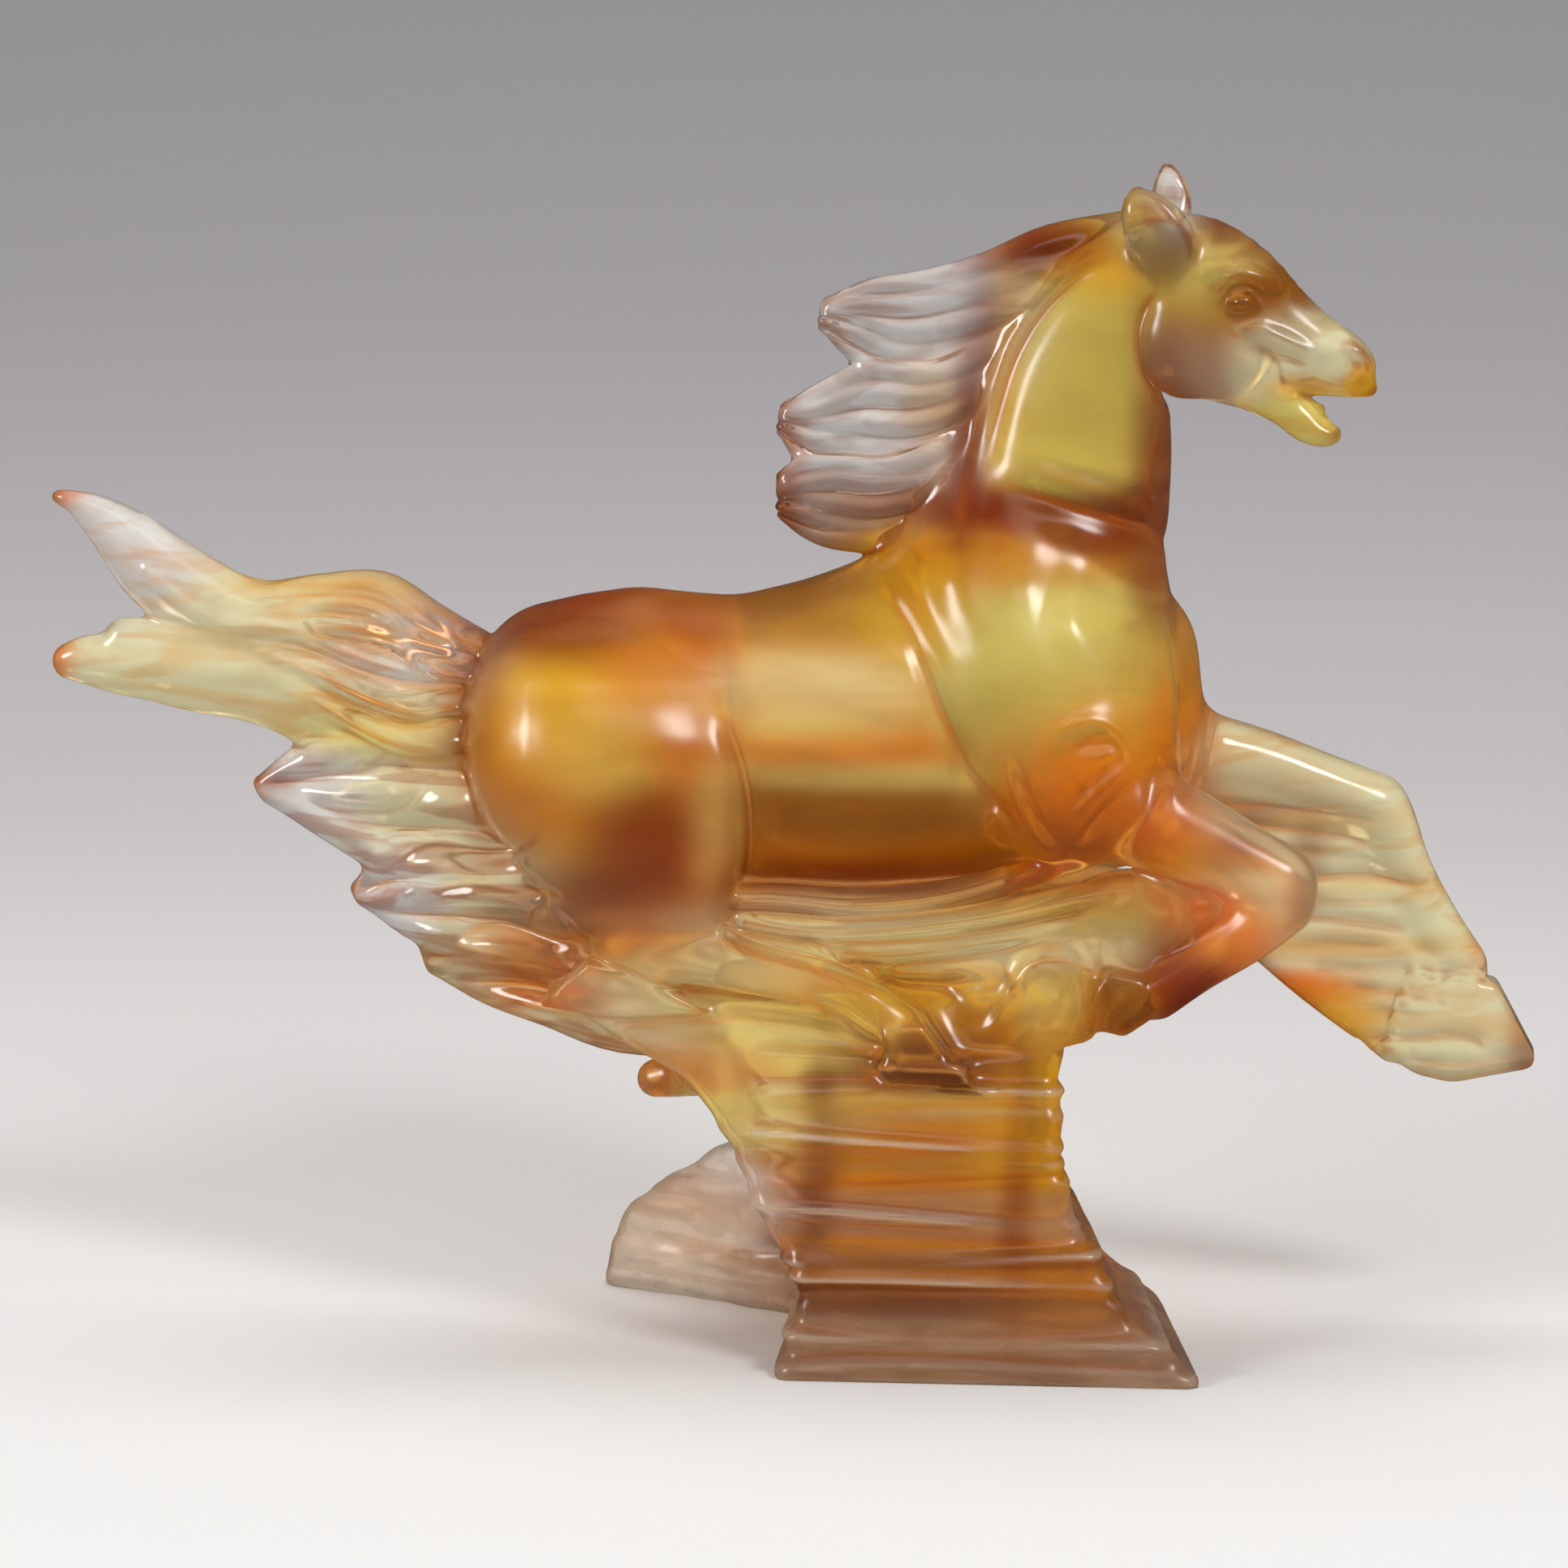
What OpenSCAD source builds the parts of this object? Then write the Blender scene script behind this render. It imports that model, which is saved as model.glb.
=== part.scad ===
// Galloping horse on a breaking wave, a cast crystal glass figurine.
// The real thing is one casting. Each node is one sculpted form of it, and where
// the glass runs through from form to form the two nodes share a face.
// X runs from the tail to the head, Y from the near side to the far side, Z up.
// The origin is at the middle of the figure's outline, on the table.

/* [Figure] */
// Overall length from the tail's tips to the far fore hoof, in mm
figure_length = 278; // [200:2:360]
// Half the width of the barrel at the girth, in mm
girth_half = 25; // [21:0.5:27]
// Half the thickness of the mane where it leaves the crest, in mm
mane_half = 7; // [5:0.5:9]
// Half the thickness of the tail where it leaves the rump, in mm
tail_half = 9; // [6:0.5:12]
// Half the thickness of the sheet of spray behind the far foreleg, in mm
spray_half = 4.5; // [3:0.5:7]

/* [Base] */
// How far each rock layer stands proud of the one above, in mm
layer_step = 0.9; // [0:0.1:2]
// Height of the wing of rock at the back, in mm
wing_height = 41; // [30:1:46]

/* [Facets] */
// Facets round the horse's body
body_fn = 18; // [16:2:24]
// Facets round the legs, locks and waves
limb_fn = 10; // [10:2:14]

/* [Hidden] */
// In this order each form is cut back by all the forms named before it
NODES = [
    "barrel", "near_haunch", "far_haunch", "near_shoulder", "far_shoulder",
    "neck", "skull", "lower_jaw", "near_ear", "far_ear", "near_eye", "far_eye",
    "mane_upper_lock", "mane_middle_lock", "mane_lower_lock",
    "tail_upper_lock", "tail_middle_lock", "tail_lower_lock",
    "near_hind_shank", "near_hind_hoof", "far_hind_shank", "far_hind_hoof",
    "near_forearm", "near_fore_cannon", "near_fore_hoof",
    "far_forearm", "far_fore_cannon", "far_fore_hoof", "spray_sheet",
    "wave_crest", "wave_belly", "wave_tip_upper", "wave_tip_middle",
    "wave_tip_lower", "wave_tip_hock", "wave_tip_small",
    "rock_column", "rock_plinth", "rock_wing"
];

drawn_length = 278;
size = figure_length / drawn_length;

amber = [0.80, 0.52, 0.16];
gold = [0.84, 0.66, 0.26];
olive = [0.72, 0.66, 0.32];
umber = [0.60, 0.38, 0.22];
clear = [0.86, 0.86, 0.80];
lemon = [0.88, 0.85, 0.50];

// The body's ellipsoids, each [x, y, z, rx, ry, rz]
BARREL = [
    [-42, 0, 112.6, 19, 20, 26],
    [-28, 0, 113, 20, 22, 28],
    [-10, 0, 111, 20, girth_half - 1, 27.6],
    [12, 0, 113, 20, girth_half, 33],
    [34, 0, 118, 20, girth_half - 2, 36],
    [52, 0, 119, 19, 19, 29]
];
HAUNCH = [
    [-40, 13, 114, 21.6, 13, 22],
    [-32, 15, 106, 22, 13, 20],
    [-22, 18, 92, 12, 9, 12]
];
SHOULDER = [
    [36, 12, 132, 14, 10, 18],
    [47, 13, 118, 20, 13, 20],
    [57, 12, 112, 16, 12, 18]
];
NECK = [
    [43, 0, 137, 29, 19, 14],
    [47, 0, 151, 24.4, 16, 12],
    [50.6, 0, 164, 20.4, 13, 11],
    [53, 0, 179, 18, 11, 10],
    [58, 0, 192, 14.4, 9.5, 9],
    [64, 0, 201.4, 11, 8.5, 8]
];
SKULL = [
    [70, 0, 198, 10, 8.5, 12],
    [77, 0, 194, 11, 8.5, 12.5],
    [85, 0, 192, 9, 7.2, 9.5],
    [96, 0, 184.6, 6, 5.6, 6.4],
    [102, 0, 180.8, 4.6, 5.6, 5],
    [105.4, 0, 177.4, 2, 4, 2.4]
];
CHEEK = [
    [73, 0, 186.4, 12.5, 9, 12.5],
    [81, 0, 184, 9, 7.4, 8.5]
];
JAW = [
    [80, 0, 179.5, 7, 5.4, 4.6],
    [89, 0, 177.5, 5, 4.4, 3.6],
    [94.5, 0, 173.4, 3.6, 4, 3.4],
    [100.4, 0, 170.6, 2.4, 3.6, 1.8]
];
EAR = [
    [68.5, 6.4, 203, 4.4, 3, 3.8],
    [66.5, 8, 208, 5.6, 3.2, 5.4],
    [64.6, 9, 214.4, 1.8, 1.4, 1.8]
];
FAR_EAR = [
    [70.6, 6, 207, 4, 3, 3.6],
    [71, 7.6, 212, 3.8, 3, 4.4],
    [70.4, 8.4, 217.4, 1.6, 1.3, 1.6]
];
EYE = [[85.4, 7, 193.6, 3, 1.6, 2]];

// Locks of hair, each a row of [x, z, half height] from its root to its tip
MANE_UPPER = [
    [[58, 206, 4.6], [44, 201, 5], [30, 197, 4.6], [16, 195.2, 4.2], [7.4, 192.4, 3]],
    [[50, 198, 4], [38, 192, 5], [24, 189.5, 4.4], [10, 189.6, 3.6], [8, 189, 3]]
];
MANE_MIDDLE = [
    [[48, 190, 4], [36, 183, 5], [24, 181, 4.4], [14, 181, 3.2]],
    [[42, 182, 4], [30, 174, 5.4], [14, 171.8, 4.6], [2, 172.6, 3.6], [-0.6, 172, 3]]
];
MANE_LOWER = [
    [[36, 172, 4], [24, 164, 5.4], [8, 163.4, 4.6], [-0.4, 161, 3.4]],
    [[32, 163, 4], [18, 157.4, 5], [6, 156.4, 4], [0.4, 154.6, 3]],
    [[26, 154, 4], [16, 152, 3.6], [8, 152.6, 2.8]]
];
TAIL_UPPER = [
    [[-56, 124, 7], [-70, 133, 7], [-84, 137.6, 6], [-98, 136.6, 6.4], [-110, 138.6, 7.4],
     [-119, 143, 8.4], [-126, 149, 6], [-131, 153.2, 3.4], [-134.8, 155.4, 1.6]]
];
TAIL_MIDDLE = [
    [[-56, 118, 8], [-70, 126, 6.6], [-84, 127.6, 6], [-100, 127.6, 6],
     [-116, 128, 5], [-127, 127.6, 4.4], [-134.6, 124.6, 4.2]]
];
TAIL_LOWER = [
    [[-54, 106, 8], [-68, 112.6, 8], [-84, 116, 6.8], [-100, 116.8, 5],
     [-116, 118.8, 4.4], [-126, 121.4, 3.6]]
];
TIP_UPPER = [[[-50, 92, 10], [-66, 96.6, 9], [-82, 99.4, 6.8], [-93, 101, 5], [-99.2, 101.6, 1.8]]];
TIP_MIDDLE = [[[-44, 84, 10], [-58, 85.4, 9], [-72, 82.4, 5.4], [-81.4, 80.8, 1.6]]];
TIP_LOWER = [[[-36, 71, 10], [-50, 72.4, 9], [-60, 69.6, 6], [-65.6, 69, 4.4]]];
TIP_HOCK = [[[-8, 64, 6], [-26, 64, 6], [-43, 64, 2.4]]];
TIP_SMALL = [[[-2, 52, 8], [-14, 50, 6], [-24.6, 48, 2.8]]];

// The legs' balls, each [x, y, z, r]
NEAR_HIND_SHANK = [
    [-23, -18, 90, 10.5], [-24, -21, 82, 8], [-28, -22, 75, 6], [-16, -23, 74, 5.4],
    [0, -25, 71.4, 4.6], [13, -27, 67, 4.6], [19, -28, 62, 5]
];
FAR_HIND_SHANK = [
    [-20, 18, 88, 10.5], [-16, 17, 79, 8], [-12, 14, 74, 6.4], [6, 4, 74, 5.6],
    [24, -12, 75, 5], [39, -20, 74, 5]
];
NEAR_FOREARM = [[54, -17, 104, 13], [66, -20, 99.6, 10], [80, -22, 94, 8.2], [92, -23, 88.4, 7.6]];
NEAR_FORE_CANNON = [[91, -23, 85, 7], [80, -24, 78, 6], [70, -25, 73, 5.6]];
FAR_FOREARM = [[60, 12, 108, 12], [78, 13, 107, 8], [96, 14, 102, 7], [110.4, 15, 96, 6.4]];
FAR_FORE_CANNON = [[111, 15, 95, 6], [118, 15, 81, 5], [125, 15, 67.6, 5.2]];

// Forms down the middle of the wave, each [x, y, z, rx, ry, rz]
CREST = [
    [-34, 0, 78, 17, 22, 11],
    [-4, -2, 78, 16, 23, 11],
    [28, -4, 79, 16, 24, 9],
    [56, -4, 83, 14, 20, 9],
    [76, -10, 83, 8, 10, 7]
];
BELLY = [
    [-22, 0, 66, 15, 20, 12],
    [4, -2, 61, 16, 24, 14],
    [30, -4, 60, 18, 25, 16],
    [43, -5, 65, 14, 21, 12]
];

// Rock levels from the table up, each [z, x0, x1, y0, y1]
COLUMN = [
    [22, 2, 61.6, -35.4, 28],
    [28.4, -1.6, 61, -34.6, 28],
    [34.4, -4, 55.6, -34, 27],
    [40.6, -6, 54.6, -33.4, 26],
    [47.2, -9, 53, -32.6, 25],
    [53, -16, 53.6, -31, 24],
    [59, -26, 53.4, -29, 22],
    [66, -38, 54, -26, 20]
];
PLINTH = [
    [0, 1, 79, -40, 22],
    [8.4, 2.6, 75.6, -38.6, 24],
    [11.6, 3.6, 70, -38, 25],
    [15.2, 4.6, 65, -37.4, 26],
    [22, 2, 62.6, -36, 28]
];
// The wing's fins, each [x, y, share of the wing's height]
FINS = [[6, 12, 1], [-8, 20, 0.84], [-18, 27, 0.62], [-27, 31.6, 0.44], [-33, 34.4, 0.27]];

function mirrored(b) = [b[0], -b[1], b[2], b[3], b[4], b[5]];

module ball(b, facets) {
    translate([b[0], b[1], b[2]])
        scale([b[3], b[4], b[5]])
            sphere(r = 1, $fn = facets);
}

// One form through a row of ellipsoids
module chain(balls, facets) {
    if (len(balls) == 1)
        ball(balls[0], facets);
    else
        for (i = [0 : len(balls) - 2])
            hull() {
                ball(balls[i], facets);
                ball(balls[i + 1], facets);
            }
}

// A leg through a row of balls
module leg(balls) {
    chain([for (b = balls) [b[0], b[1], b[2], b[3], b[3], b[3]]], limb_fn);
}

// Flat locks that thin from half the root's thickness to their tips
module locks(rows, y, half) {
    for (points = rows) {
        last = len(points) - 1;
        chain([for (i = [0 : last])
                let (p = points[i])
                [p[0], y, p[1], p[2], max(half * (1 - 0.6 * i / last), 1.6), p[2]]],
            limb_fn);
    }
}

// The round ball at a hoof's coronet
module coronet_ball(b) {
    ball([b[0], b[1], b[2], b[3], b[3], b[3]], limb_fn);
}

// A thin slice of rock with rounded corners, [z, x0, x1, y0, y1]
module slice(level, inset) {
    corner = 5;
    x0 = level[1] + inset + corner;
    x1 = level[2] - inset - corner;
    y0 = level[3] + inset + corner;
    y1 = level[4] - inset - corner;
    translate([0, 0, level[0]])
        for (x = [x0, x1], y = [y0, y1])
            translate([x - (x == x1 && y == y1 ? 9 : 0), y, 0])
                cylinder(h = 0.02, r = corner, $fn = 12);
}

// Rock layers between levels, each with its lower lip standing proud
module layers(levels) {
    for (i = [0 : len(levels) - 2])
        hull() {
            slice(levels[i], 0);
            slice(levels[i + 1], layer_step);
        }
}

// The ribbed sheet of spray that fills behind the far foreleg
module spray() {
    for (row = [0 : 5])
        let (z = 98.4 - 8.2 * row, x0 = 77 + 6.4 * row, x1 = 107 + 3 * row)
        chain([
                [x0, 14, z - 2, 5, spray_half, 4.9],
                [(x0 + x1) / 2, 14.4, z - 1, 6, spray_half + 0.6, 4.7],
                [x1, 15, z, 5, spray_half, 4.9]
            ], limb_fn);
}

// The wing of rock that steps down to the back corner
module wing() {
    for (i = [0 : len(FINS) - 2])
        hull()
            for (f = [FINS[i], FINS[i + 1]]) {
                translate([f[0], f[1], 0])
                    cylinder(h = 0.02, r = 5.6, $fn = 12);
                translate([f[0], f[1], wing_height * f[2] - 4])
                    sphere(r = 4.4, $fn = limb_fn);
            }
}

// Every form in full, before its neighbours are cut from it
module form(name) {
    if (name == "barrel") chain(BARREL, body_fn);
    if (name == "near_haunch") chain([for (b = HAUNCH) mirrored(b)], body_fn);
    if (name == "far_haunch") chain(HAUNCH, body_fn);
    if (name == "near_shoulder") chain([for (b = SHOULDER) mirrored(b)], body_fn);
    if (name == "far_shoulder") translate([5, 0, 1]) chain(SHOULDER, body_fn);
    if (name == "neck") chain(NECK, body_fn);
    if (name == "skull") { chain(SKULL, body_fn); chain(CHEEK, body_fn); }
    if (name == "lower_jaw") chain(JAW, limb_fn);
    if (name == "near_ear") chain([for (b = EAR) mirrored(b)], limb_fn);
    if (name == "far_ear") chain(FAR_EAR, limb_fn);
    if (name == "near_eye") chain([mirrored(EYE[0])], limb_fn);
    if (name == "far_eye") chain(EYE, limb_fn);
    if (name == "mane_upper_lock") locks(MANE_UPPER, 1, mane_half);
    if (name == "mane_middle_lock") locks(MANE_MIDDLE, 0, mane_half);
    if (name == "mane_lower_lock") locks(MANE_LOWER, -1, mane_half);
    if (name == "tail_upper_lock") locks(TAIL_UPPER, 0, tail_half);
    if (name == "tail_middle_lock") locks(TAIL_MIDDLE, 1, tail_half);
    if (name == "tail_lower_lock") locks(TAIL_LOWER, 0, tail_half);
    if (name == "near_hind_shank") leg(NEAR_HIND_SHANK);
    if (name == "near_hind_hoof")
        hull() {
            coronet_ball([23, -28, 61, 5.4]);
            for (x = [20, 37], y = [-33, -25])
                ball([x, y, 55, 1.4, 1.4, 1.4], 8);
        }
    if (name == "far_hind_shank") leg(FAR_HIND_SHANK);
    if (name == "far_hind_hoof")
        hull() {
            coronet_ball([44, -20, 72, 5.4]);
            for (x = [39, 56], y = [-27, -17])
                ball([x, y, 63, 1.4, 1.4, 1.4], 8);
        }
    if (name == "near_forearm") leg(NEAR_FOREARM);
    if (name == "near_fore_cannon") leg(NEAR_FORE_CANNON);
    if (name == "near_fore_hoof")
        hull() {
            coronet_ball([68.4, -25.3, 72.6, 5.6]);
            for (y = [-29, -21]) {
                ball([60.4, y, 73, 1.4, 1.4, 1.4], 8);
                ball([63.4, y, 65, 1.4, 1.4, 1.4], 8);
            }
        }
    if (name == "far_forearm") leg(FAR_FOREARM);
    if (name == "far_fore_cannon") leg(FAR_FORE_CANNON);
    if (name == "far_fore_hoof")
        hull() {
            coronet_ball([125, 15, 65, 5.6]);
            for (y = [10, 20]) {
                ball([112.4, y, 52, 1.4, 1.4, 1.4], 8);
                ball([124, y, 48.6, 1.4, 1.4, 1.4], 8);
                ball([137.6, y, 50.4, 1.4, 1.4, 1.4], 8);
            }
        }
    if (name == "spray_sheet") spray();
    if (name == "wave_crest") chain(CREST, body_fn);
    if (name == "wave_belly") chain(BELLY, body_fn);
    if (name == "wave_tip_upper") locks(TIP_UPPER, 0, 12);
    if (name == "wave_tip_middle") locks(TIP_MIDDLE, -2, 12);
    if (name == "wave_tip_lower") locks(TIP_LOWER, -2, 13);
    if (name == "wave_tip_hock") locks(TIP_HOCK, -20, 7);
    if (name == "wave_tip_small") locks(TIP_SMALL, -12, 12);
    if (name == "rock_column") layers(COLUMN);
    if (name == "rock_plinth") layers(PLINTH);
    if (name == "rock_wing") wing();
}

// One node's form less every form named before it
module trimmed(name) {
    place = search([name], NODES)[0];
    scale(size)
        difference() {
            form(name);
            for (i = [0 : 1 : place - 1])
                form(NODES[i]);
        }
}

module barrel() { color(gold) trimmed("barrel"); }
module near_haunch() { color(amber) trimmed("near_haunch"); }
module far_haunch() { color(amber) trimmed("far_haunch"); }
module near_shoulder() { color(olive) trimmed("near_shoulder"); }
module far_shoulder() { color(olive) trimmed("far_shoulder"); }
module neck() { color(olive) trimmed("neck"); }
module skull() { color(olive) trimmed("skull"); }
module lower_jaw() { color(lemon) trimmed("lower_jaw"); }
module near_ear() { color(umber) trimmed("near_ear"); }
module far_ear() { color(clear) trimmed("far_ear"); }
module near_eye() { color(umber) trimmed("near_eye"); }
module far_eye() { color(umber) trimmed("far_eye"); }
module mane_upper_lock() { color(clear) trimmed("mane_upper_lock"); }
module mane_middle_lock() { color(clear) trimmed("mane_middle_lock"); }
module mane_lower_lock() { color(clear) trimmed("mane_lower_lock"); }
module tail_upper_lock() { color(lemon) trimmed("tail_upper_lock"); }
module tail_middle_lock() { color(lemon) trimmed("tail_middle_lock"); }
module tail_lower_lock() { color(lemon) trimmed("tail_lower_lock"); }
module near_hind_shank() { color(amber) trimmed("near_hind_shank"); }
module near_hind_hoof() { color(umber) trimmed("near_hind_hoof"); }
module far_hind_shank() { color(amber) trimmed("far_hind_shank"); }
module far_hind_hoof() { color(gold) trimmed("far_hind_hoof"); }
module near_forearm() { color(amber) trimmed("near_forearm"); }
module near_fore_cannon() { color(amber) trimmed("near_fore_cannon"); }
module near_fore_hoof() { color(umber) trimmed("near_fore_hoof"); }
module far_forearm() { color(lemon) trimmed("far_forearm"); }
module far_fore_cannon() { color(lemon) trimmed("far_fore_cannon"); }
module far_fore_hoof() { color(lemon) trimmed("far_fore_hoof"); }
module spray_sheet() { color(lemon) trimmed("spray_sheet"); }
module wave_crest() { color(gold) trimmed("wave_crest"); }
module wave_belly() { color(gold) trimmed("wave_belly"); }
module wave_tip_upper() { color(amber) trimmed("wave_tip_upper"); }
module wave_tip_middle() { color(amber) trimmed("wave_tip_middle"); }
module wave_tip_lower() { color(amber) trimmed("wave_tip_lower"); }
module wave_tip_hock() { color(gold) trimmed("wave_tip_hock"); }
module wave_tip_small() { color(umber) trimmed("wave_tip_small"); }
module rock_column() { color(gold) trimmed("rock_column"); }
module rock_plinth() { color(umber) trimmed("rock_plinth"); }
module rock_wing() { color(umber) trimmed("rock_wing"); }

barrel();
near_haunch();
far_haunch();
near_shoulder();
far_shoulder();
neck();
skull();
lower_jaw();
near_ear();
far_ear();
near_eye();
far_eye();
mane_upper_lock();
mane_middle_lock();
mane_lower_lock();
tail_upper_lock();
tail_middle_lock();
tail_lower_lock();
near_hind_shank();
near_hind_hoof();
far_hind_shank();
far_hind_hoof();
near_forearm();
near_fore_cannon();
near_fore_hoof();
far_forearm();
far_fore_cannon();
far_fore_hoof();
spray_sheet();
wave_crest();
wave_belly();
wave_tip_upper();
wave_tip_middle();
wave_tip_lower();
wave_tip_hock();
wave_tip_small();
rock_column();
rock_plinth();
rock_wing();
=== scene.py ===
"""Looks for the galloping horse figurine: one casting of satin crystal glass.

The horse is modelled the way a lost-wax caster works. Wax forms are laid into one
block of clay (a field of distances), melted together where they meet, cut with
hair and water lines, and then cast as glass. Lengths are in millimetres until the
casting is written out in metres.
"""

import math

import bpy
import numpy as np
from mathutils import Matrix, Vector


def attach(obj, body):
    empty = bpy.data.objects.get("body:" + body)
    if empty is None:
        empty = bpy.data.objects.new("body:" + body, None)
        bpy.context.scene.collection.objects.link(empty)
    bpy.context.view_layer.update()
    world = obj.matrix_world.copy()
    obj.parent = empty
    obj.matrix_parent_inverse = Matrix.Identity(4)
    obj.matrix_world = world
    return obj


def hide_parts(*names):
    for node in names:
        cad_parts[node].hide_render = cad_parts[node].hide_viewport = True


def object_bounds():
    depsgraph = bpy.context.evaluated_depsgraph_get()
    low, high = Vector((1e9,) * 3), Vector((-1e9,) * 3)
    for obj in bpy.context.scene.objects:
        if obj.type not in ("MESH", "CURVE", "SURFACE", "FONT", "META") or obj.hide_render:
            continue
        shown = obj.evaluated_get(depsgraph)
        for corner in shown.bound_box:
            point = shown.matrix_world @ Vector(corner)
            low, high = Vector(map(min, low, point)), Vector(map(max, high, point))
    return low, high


bl_info = {
    "name": "Cast glass horse",
    "version": (1, 0, 0),
    "blender": (4, 5, 0),
    "location": "3D View > Sidebar > Glass horse",
    "description": "Sculpts a galloping horse on a wave and casts it in crystal glass",
    "category": "Add Mesh",
}

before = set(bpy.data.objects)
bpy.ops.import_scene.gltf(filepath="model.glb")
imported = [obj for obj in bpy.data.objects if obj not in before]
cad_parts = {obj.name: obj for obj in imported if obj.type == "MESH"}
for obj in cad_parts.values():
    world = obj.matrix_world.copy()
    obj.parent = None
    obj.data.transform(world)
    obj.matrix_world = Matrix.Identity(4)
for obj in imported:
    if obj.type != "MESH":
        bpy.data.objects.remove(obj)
CAD_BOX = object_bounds()
MM = 0.001

BLOCK_MARGIN = 2.0
# The distance that empty clay starts at, in mm: further than any melt reaches
EMPTY = 9.0
# How far beyond its melt a form is worked out, in mm
SPARE = 2.5
# Reach of the thumb that rubs each part smooth, in mm, and for shading in grid steps
SHADE_RUB = 1.1
TRUNK_RUB, LEG_RUB, ROCK_RUB = 2.3, 1.2, 1.0


# ---------------------------------------------------------------- wax and clay


class Clay:
    """A block of clay: a grid of distances to the surface, negative inside the horse.

    best and owner remember which wax form each grid point lies deepest in, so that
    the casting can be handed over form by form.
    """

    def __init__(self, low, high, step):
        self.step = step
        self.low = np.array(low, float)
        count = np.ceil((np.array(high, float) - self.low) / step).astype(int) + 1
        self.axes = [
            (self.low[i] + step * np.arange(count[i])).astype(np.float32) for i in range(3)
        ]
        self.field = np.full(count, EMPTY, np.float32)
        self.best = np.full(count, EMPTY, np.float32)
        self.owner = np.zeros(count, np.uint8)
        self.names = [""]

    def window(self, low, high):
        """The slices of the grid, and its three coordinate arrays, inside a box."""
        cut, grids = [], []
        for i in range(3):
            a = max(int((low[i] - self.low[i]) / self.step), 0)
            b = min(int((high[i] - self.low[i]) / self.step) + 2, len(self.axes[i]))
            if b <= a:
                return None, None
            cut.append(slice(a, b))
            shape = [1, 1, 1]
            shape[i] = b - a
            grids.append(self.axes[i][a:b].reshape(shape))
        return tuple(cut), grids

    def number(self, name):
        if name not in self.names:
            self.names.append(name)
        return self.names.index(name)

    def add(self, name, distance, low, high, melt):
        """Melts a form into the clay. distance(x, y, z) gives its distance field."""
        pad = melt + SPARE
        cut, grids = self.window(np.array(low) - pad, np.array(high) + pad)
        if cut is None:
            return
        self.melt(name, cut, distance(*grids).astype(np.float32), melt)

    def melt(self, name, cut, d, melt):
        old = self.field[cut]
        overlap = np.maximum(melt - np.abs(old - d), 0.0)
        self.field[cut] = np.minimum(old, d) - overlap * overlap / (4.0 * melt)
        deeper = d < self.best[cut]
        self.best[cut][deeper] = d[deeper]
        self.owner[cut][deeper] = self.number(name)

    def rub(self, reach, low, high):
        """Rubs the clay smooth inside a box, as a thumb does, over about reach millimetres."""
        cut, _ = self.window(low, high)
        spread = reach / self.step
        half = max(int(2.0 * spread + 0.5), 1)
        shares = np.exp(-0.5 * (np.arange(-half, half + 1) / spread) ** 2)
        shares = (shares / shares.sum()).astype(np.float32)
        rubbed = self.field[cut]
        for axis in range(3):
            edge = [(half, half) if i == axis else (0, 0) for i in range(3)]
            wide = np.pad(rubbed, edge, mode="edge")
            rubbed = np.zeros_like(rubbed)
            for k, share in enumerate(shares):
                part = [slice(None)] * 3
                part[axis] = slice(k, k + rubbed.shape[axis])
                rubbed += share * wide[tuple(part)]
        self.field[cut] = rubbed

    def press(self, amount, low, high):
        """Presses the surface in, or raises it where amount(x, y, z) is negative."""
        cut, grids = self.window(low, high)
        if cut is not None:
            self.field[cut] += amount(*grids).astype(np.float32)


def smooth_path(points, parts):
    """A row of points filled in along a smooth curve, every column alike."""
    p = np.array(points, float)
    if len(p) < 3 or parts < 2:
        return p
    ends = np.vstack([2 * p[0] - p[1], p, 2 * p[-1] - p[-2]])
    out = []
    for i in range(1, len(ends) - 2):
        a, b, c, d = ends[i - 1 : i + 3]
        for k in range(parts):
            t = k / parts
            out.append(
                0.5
                * (
                    2 * b
                    + (c - a) * t
                    + (2 * a - 5 * b + 4 * c - d) * t * t
                    + (3 * b - a - 3 * c + d) * t**3
                )
            )
    out.append(p[-1])
    return np.array(out)


def egg(a, b):
    """The distance to one stretch of a form whose oval section goes from a to b."""
    start, run = a[:3], b[:3] - a[:3]
    pull = run / ((a[3:] + b[3:]) / 2.0) ** 2
    length2 = max(float(run @ pull), 1e-9)

    def distance(x, y, z):
        dx, dy, dz = x - start[0], y - start[1], z - start[2]
        t = np.clip((dx * pull[0] + dy * pull[1] + dz * pull[2]) / length2, 0.0, 1.0)
        dx, dy, dz = dx - t * run[0], dy - t * run[1], dz - t * run[2]
        rx, ry, rz = (a[3 + i] + t * (b[3 + i] - a[3 + i]) for i in range(3))
        away = np.sqrt(dx * dx + dy * dy + dz * dz) + 1e-4
        round_ = np.sqrt((dx / rx) ** 2 + (dy / ry) ** 2 + (dz / rz) ** 2) + 1e-4
        return away - away / round_

    return distance


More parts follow.
